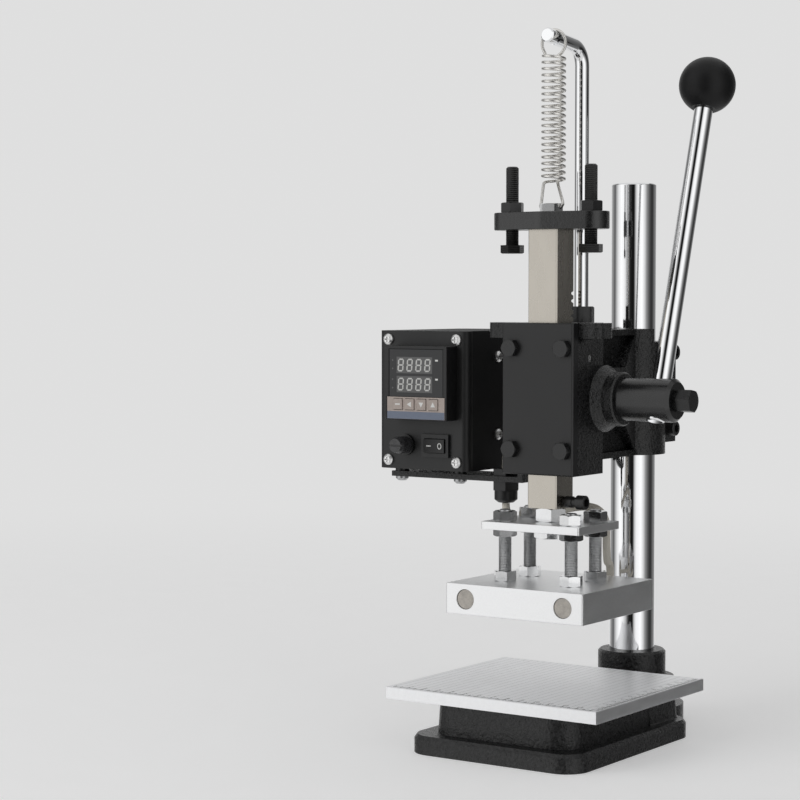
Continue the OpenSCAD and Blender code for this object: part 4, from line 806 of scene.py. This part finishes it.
# Controller's display: two rows of four figures, four lamps and a unit mark beside each row
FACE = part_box("display_window")[0].y / MM
MARK_THICK = 0.05
ROWS = (237.9, 225.5)
ROW_LEFT, ROW_RIGHT = -109.4, -81.6
ROW_HALF = 5.3
row_strips = [strip(ROW_LEFT, z - ROW_HALF, ROW_RIGHT, z + ROW_HALF) for z in ROWS]
plates("digit_rows", row_strips, digit_back, "head", on_front(FACE), MARK_THICK)
DIGITS = 4
DIGIT_W = 4.6
DIGIT_H = 8.4
DIGIT_BAR = DIGIT_W * 0.21
DIGIT_GAP = DIGIT_BAR * 0.16
DIGIT_LEAN = 0.09
DIGIT_SHIFT = -0.2


def digit(x, z):
    """The seven segments of a figure 8 round that middle, leaning slightly."""
    half = DIGIT_BAR / 2
    left = x - DIGIT_W / 2 + half
    right = x + DIGIT_W / 2 - half
    low = z - DIGIT_H / 2 + half
    high = z + DIGIT_H / 2 - half

    def leaning(points):
        return [(px + (pz - z) * DIGIT_LEAN, pz) for px, pz in points]

    def level(middle):
        x0 = left + DIGIT_GAP
        x1 = right - DIGIT_GAP
        return leaning([
            (x0, middle), (x0 + half, middle + half), (x1 - half, middle + half),
            (x1, middle), (x1 - half, middle - half), (x0 + half, middle - half),
        ])

    def upright(middle, bottom, top):
        z0 = bottom + DIGIT_GAP
        z1 = top - DIGIT_GAP
        return leaning([
            (middle, z0), (middle + half, z0 + half), (middle + half, z1 - half),
            (middle, z1), (middle - half, z1 - half), (middle - half, z0 + half),
        ])

    return [level(low), level(z), level(high), upright(left, low, z), upright(left, z, high),
            upright(right, low, z), upright(right, z, high)]


figures = []
for z in ROWS:
    for k in range(DIGITS):
        figures += digit(ROW_LEFT + (ROW_RIGHT - ROW_LEFT) * (k + 0.5) / DIGITS + DIGIT_SHIFT, z)
plates("digits", figures, digit_pale, "head", on_front(FACE - MARK_THICK), thickness=0.04)


def oval(x, y, half_w, half_h, n):
    """Points round an ellipse."""
    turns = [2 * math.pi * i / n for i in range(n)]
    return [(x + half_w * math.cos(a), y + half_h * math.sin(a)) for a in turns]


LAMP_X = -112.6
LAMP_RADIUS = 0.55
LAMP_HEIGHTS = (241, 235.6, 228.6, 223)
lamps = [oval(LAMP_X, z, LAMP_RADIUS, LAMP_RADIUS, 16) for z in LAMP_HEIGHTS]
plates("indicator_marks", lamps, digit_back, "head", on_front(FACE), MARK_THICK)
UNIT_LEFT, UNIT_RIGHT = -79.3, -77.2
UNIT_HEIGHT = 1.1
units = [strip(UNIT_LEFT, z, UNIT_RIGHT, z + UNIT_HEIGHT) for z in (240.6, 228.4)]
plates("unit_marks", units, mark_white, "head", on_front(FACE), MARK_THICK)

# Plain band along the lower part of the key strip
BAND_INSET = 0.1
BAND_TOP = 4.9
keys_low, keys_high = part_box("key_strip")
band = strip(keys_low.x / MM + BAND_INSET, keys_low.z / MM + BAND_INSET,
             keys_high.x / MM - BAND_INSET, keys_low.z / MM + BAND_TOP)
plates("plain_band", [band], band_blue, "head", on_front(keys_low.y / MM), MARK_THICK)

# Marks on the keys, a dash and three arrows
DASH_HALF_W = 1.9
DASH_HALF_H = 0.45
ARROW_TIP = 1.9
ARROW_BACK = 1.4
ARROW_HALF = 1.8


def key_mark(x, z, way):
    """Outline round that middle: a dash, or an arrow that points a way in X and Z."""
    if way is None:
        return strip(x - DASH_HALF_W, z - DASH_HALF_H, x + DASH_HALF_W, z + DASH_HALF_H)
    dx, dz = way
    back_x = x - ARROW_BACK * dx
    back_z = z - ARROW_BACK * dz
    return [
        (x + ARROW_TIP * dx, z + ARROW_TIP * dz),
        (back_x - ARROW_HALF * dz, back_z + ARROW_HALF * dx),
        (back_x + ARROW_HALF * dz, back_z - ARROW_HALF * dx),
    ]


for key, way in (("set_key", None), ("left_key", (-1, 0)), ("down_key", (0, -1)), ("up_key", (0, 1))):
    key_low, key_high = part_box(key)
    outline = key_mark((key_low.x + key_high.x) / 2 / MM, (key_low.z + key_high.z) / 2 / MM, way)
    plane = on_front(key_low.y / MM)
    plates(key + "_mark", [outline], mark_white, body_of[key], plane, thickness=0.03)

# Marks on the rocker's two faces, which lean with it: its tilt at rest and each face's slope,
# and the middle of a face from the pivot
ROCKER_TILT = 8
ROCKER_SLOPE = math.atan2(1.2, 7.5)
ROCKER_X = 3.9
ROCKER_Y = -3.63
ROCKER_THICK = 0.04
rocker_low, rocker_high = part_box("switch_rocker")
switch_low, switch_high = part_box("switch_frame")
pivot = Vector(((switch_low.x + switch_high.x) / 2, 0, (rocker_low.z + rocker_high.z) / 2))
rocker = Matrix.Translation(pivot) @ Matrix.Rotation(math.radians(ROCKER_TILT), 4, "Z")


def rocker_face(side):
    """Plane of the rocker's left (-1) or right (1) face."""
    middle = Matrix.Translation(mm(side * ROCKER_X, ROCKER_Y, 0))
    return rocker @ middle @ Matrix.Rotation(-side * ROCKER_SLOPE, 4, "Z") @ on_front(0)


BAR_HALF_W = 1.5
BAR_HALF_H = 0.35
bar = [strip(-BAR_HALF_W, -BAR_HALF_H, BAR_HALF_W, BAR_HALF_H)]
plates("rocker_bar", bar, mark_white, "rocker", rocker_face(-1), ROCKER_THICK)
RING_STEPS = 20
RING_INNER = (1.1, 1.5)
RING_OUTER = (1.6, 2.0)
inner = oval(0, 0, *RING_INNER, RING_STEPS)
outer = oval(0, 0, *RING_OUTER, RING_STEPS)
ring = []
for i in range(RING_STEPS):
    j = (i + 1) % RING_STEPS
    ring.append([inner[i], inner[j], outer[j], outer[i]])
plates("rocker_ring", ring, mark_white, "rocker", rocker_face(1), ROCKER_THICK)

# Floor, surround and light
VIEW = math.atan2(camera.location.y, camera.location.x)
PALE = 0.74
FLOOR_HALF = 30
FLOOR_Z = -0.0002
# Distances in metres over which the floor turns into the background, and its lift near the object
FADE_FROM = 0.25
FADE_TO = 1.7
FLOOR_LIFT = 0.3


def seen_directly(g):
    """1 for camera, glossy and transmission rays, which all show the background."""
    rays = g.add("ShaderNodeLightPath").outputs
    either = g.calc("MAXIMUM", rays["Is Camera Ray"], rays["Is Glossy Ray"])
    return g.calc("MAXIMUM", either, rays["Is Transmission Ray"])


def floor_material():
    """Pale floor that takes the shadow near the object and turns into the background further out."""
    g = material_graph("floor_pale")
    where = g.place()
    direct = seen_directly(g)
    speckle = [(0.3, (0.79, 0.79, 0.792)), (0.7, (0.81, 0.81, 0.812))]
    g.fill(g.bsdf, {
        "Base Color": g.ramp(g.noise(where, 30, 3), speckle),
        "Roughness": 0.8,
        "Specular IOR Level": 0.1,
        "Emission Color": (1, 1, 1, 1),
        "Emission Strength": g.calc("MULTIPLY", direct, FLOOR_LIFT),
    })
    far = g.add("ShaderNodeVectorMath", {0: where}, operation="LENGTH").outputs["Value"]
    reach = {"Value": far, "From Min": FADE_FROM, "From Max": FADE_TO}
    fade = g.add("ShaderNodeMapRange", reach, interpolation_type="SMOOTHSTEP").outputs["Result"]
    glow = g.add("ShaderNodeEmission", {"Strength": PALE}).outputs[0]
    share = g.calc("MULTIPLY", fade, direct)
    mix = g.add("ShaderNodeMixShader", {"Fac": share, 1: g.bsdf.outputs[0], 2: glow}).outputs[0]
    g.fill(g.tree.nodes["Material Output"], {"Surface": mix})
    return g.mat


floor_mesh = bpy.data.meshes.new("floor")
floor_corners = [(x * FLOOR_HALF, y * FLOOR_HALF, 0) for x, y in strip(-1, -1, 1, 1)]
floor_mesh.from_pydata(floor_corners, [], [(0, 1, 2, 3)])
floor = add_piece("floor", floor_mesh, floor_material())
floor.matrix_world = Matrix.Translation((0, 0, FLOOR_Z))
floor.visible_glossy = False

# Level of the surround at each angle from the camera's direction, to the right, as the chrome
# column shows it
BANDS = [
    (-150, 0.36), (-132, 0.28), (-115, 0.1), (-104, 0.4), (-88, 0.85), (-70, 1.15), (-52, 1.0),
    (-35, 0.5), (-25, 0.1), (-18, 0.015), (1, 0.005), (5, 0.2), (10, 0.6), (20, 1.0), (44, 1.15),
    (58, 0.75), (70, 0.3), (84, 0.12), (96, 0.045), (110, 0.035), (120, 0.12), (134, 0.22),
    (150, 0.3),
]
SURROUND_RADIUS = 2.3
SURROUND_LOW = -1.2
SURROUND_HIGH = 2.6
SURROUND_STEPS = 60


def surround_material():
    """Soft cards round the object, as one material that glows by angle."""
    g = material_graph("surround")
    g.tree.nodes.remove(g.bsdf)
    coords = g.add("ShaderNodeTexCoord").outputs["Object"]
    parts = g.add("ShaderNodeSeparateXYZ", {0: coords}).outputs
    angle = g.calc("ARCTAN2", parts["Y"], parts["X"])
    share = g.span(angle, 0, 1, -math.pi, math.pi)
    stops = [((a + 180) / 360, (v, v, v)) for a, v in BANDS]
    glow = g.add("ShaderNodeEmission", {"Color": g.ramp(share, stops)}).outputs[0]
    g.fill(g.tree.nodes["Material Output"], {"Surface": glow})
    return g.mat


def surround():
    """Wall of cards round the object, open behind it, that only reflections show."""
    first = BANDS[0][0]
    last = BANDS[-1][0]
    points = []
    for i in range(SURROUND_STEPS + 1):
        a = math.radians(first + (last - first) * i / SURROUND_STEPS)
        for z in (SURROUND_LOW, SURROUND_HIGH):
            points.append((SURROUND_RADIUS * math.cos(a), SURROUND_RADIUS * math.sin(a), z))
    faces = [(2 * i, 2 * i + 2, 2 * i + 3, 2 * i + 1) for i in range(SURROUND_STEPS)]
    mesh = bpy.data.meshes.new("surround")
    mesh.from_pydata(points, [], faces)
    piece = add_piece("surround", mesh, surround_material())
    piece.matrix_world = Matrix.Rotation(VIEW, 4, "Z")
    piece.visible_camera = False
    piece.visible_diffuse = False
    piece.visible_shadow = False
    piece.visible_transmission = False


surround()
AIM = Vector((0, 0, 0.2))


def round_view(angle, distance, height):
    """Matrix at that angle from the camera's direction, to the right, facing the object."""
    turn = VIEW + math.radians(angle)
    spot = Vector((math.cos(turn) * distance, math.sin(turn) * distance, height))
    facing = (AIM - spot).to_track_quat("-Z", "Y").to_matrix().to_4x4()
    return Matrix.Translation(spot) @ facing


def softbox(name, angle, distance, centre, width, height, level):
    """Rectangle of soft light whose level doesn't change with its size."""
    light = bpy.data.lights.new(name, "AREA")
    light.shape = "RECTANGLE"
    light.size = width
    light.size_y = height
    light.energy = level * math.pi * width * height
    holder = bpy.data.objects.new(name, light)
    bpy.context.scene.collection.objects.link(holder)
    holder.matrix_world = round_view(angle, distance, centre)
    holder.visible_camera = False
    holder.visible_glossy = False


softbox("softbox_left", angle=-62, distance=1.9, centre=1.1, width=1.8, height=1.8, level=1.3)
softbox("softbox_right", angle=34, distance=1.9, centre=1.1, width=0.7, height=1.8, level=0.38)
softbox("softbox_top", angle=170, distance=1.4, centre=1.8, width=1.2, height=1.2, level=0.5)

# World: pale where it is seen, and lower where it lights the object
WORLD_LIGHT = 0.34
world = bpy.data.worlds.new("world")
bpy.context.scene.world = world
world.use_nodes = True
sky = Graph(world.node_tree)
sky_level = sky.span(seen_directly(sky), WORLD_LIGHT, PALE, 0, 1)
sky.fill(sky.tree.nodes["Background"], {"Color": (1, 1, 1, 1), "Strength": sky_level})
bpy.context.scene.view_settings.view_transform = "Standard"
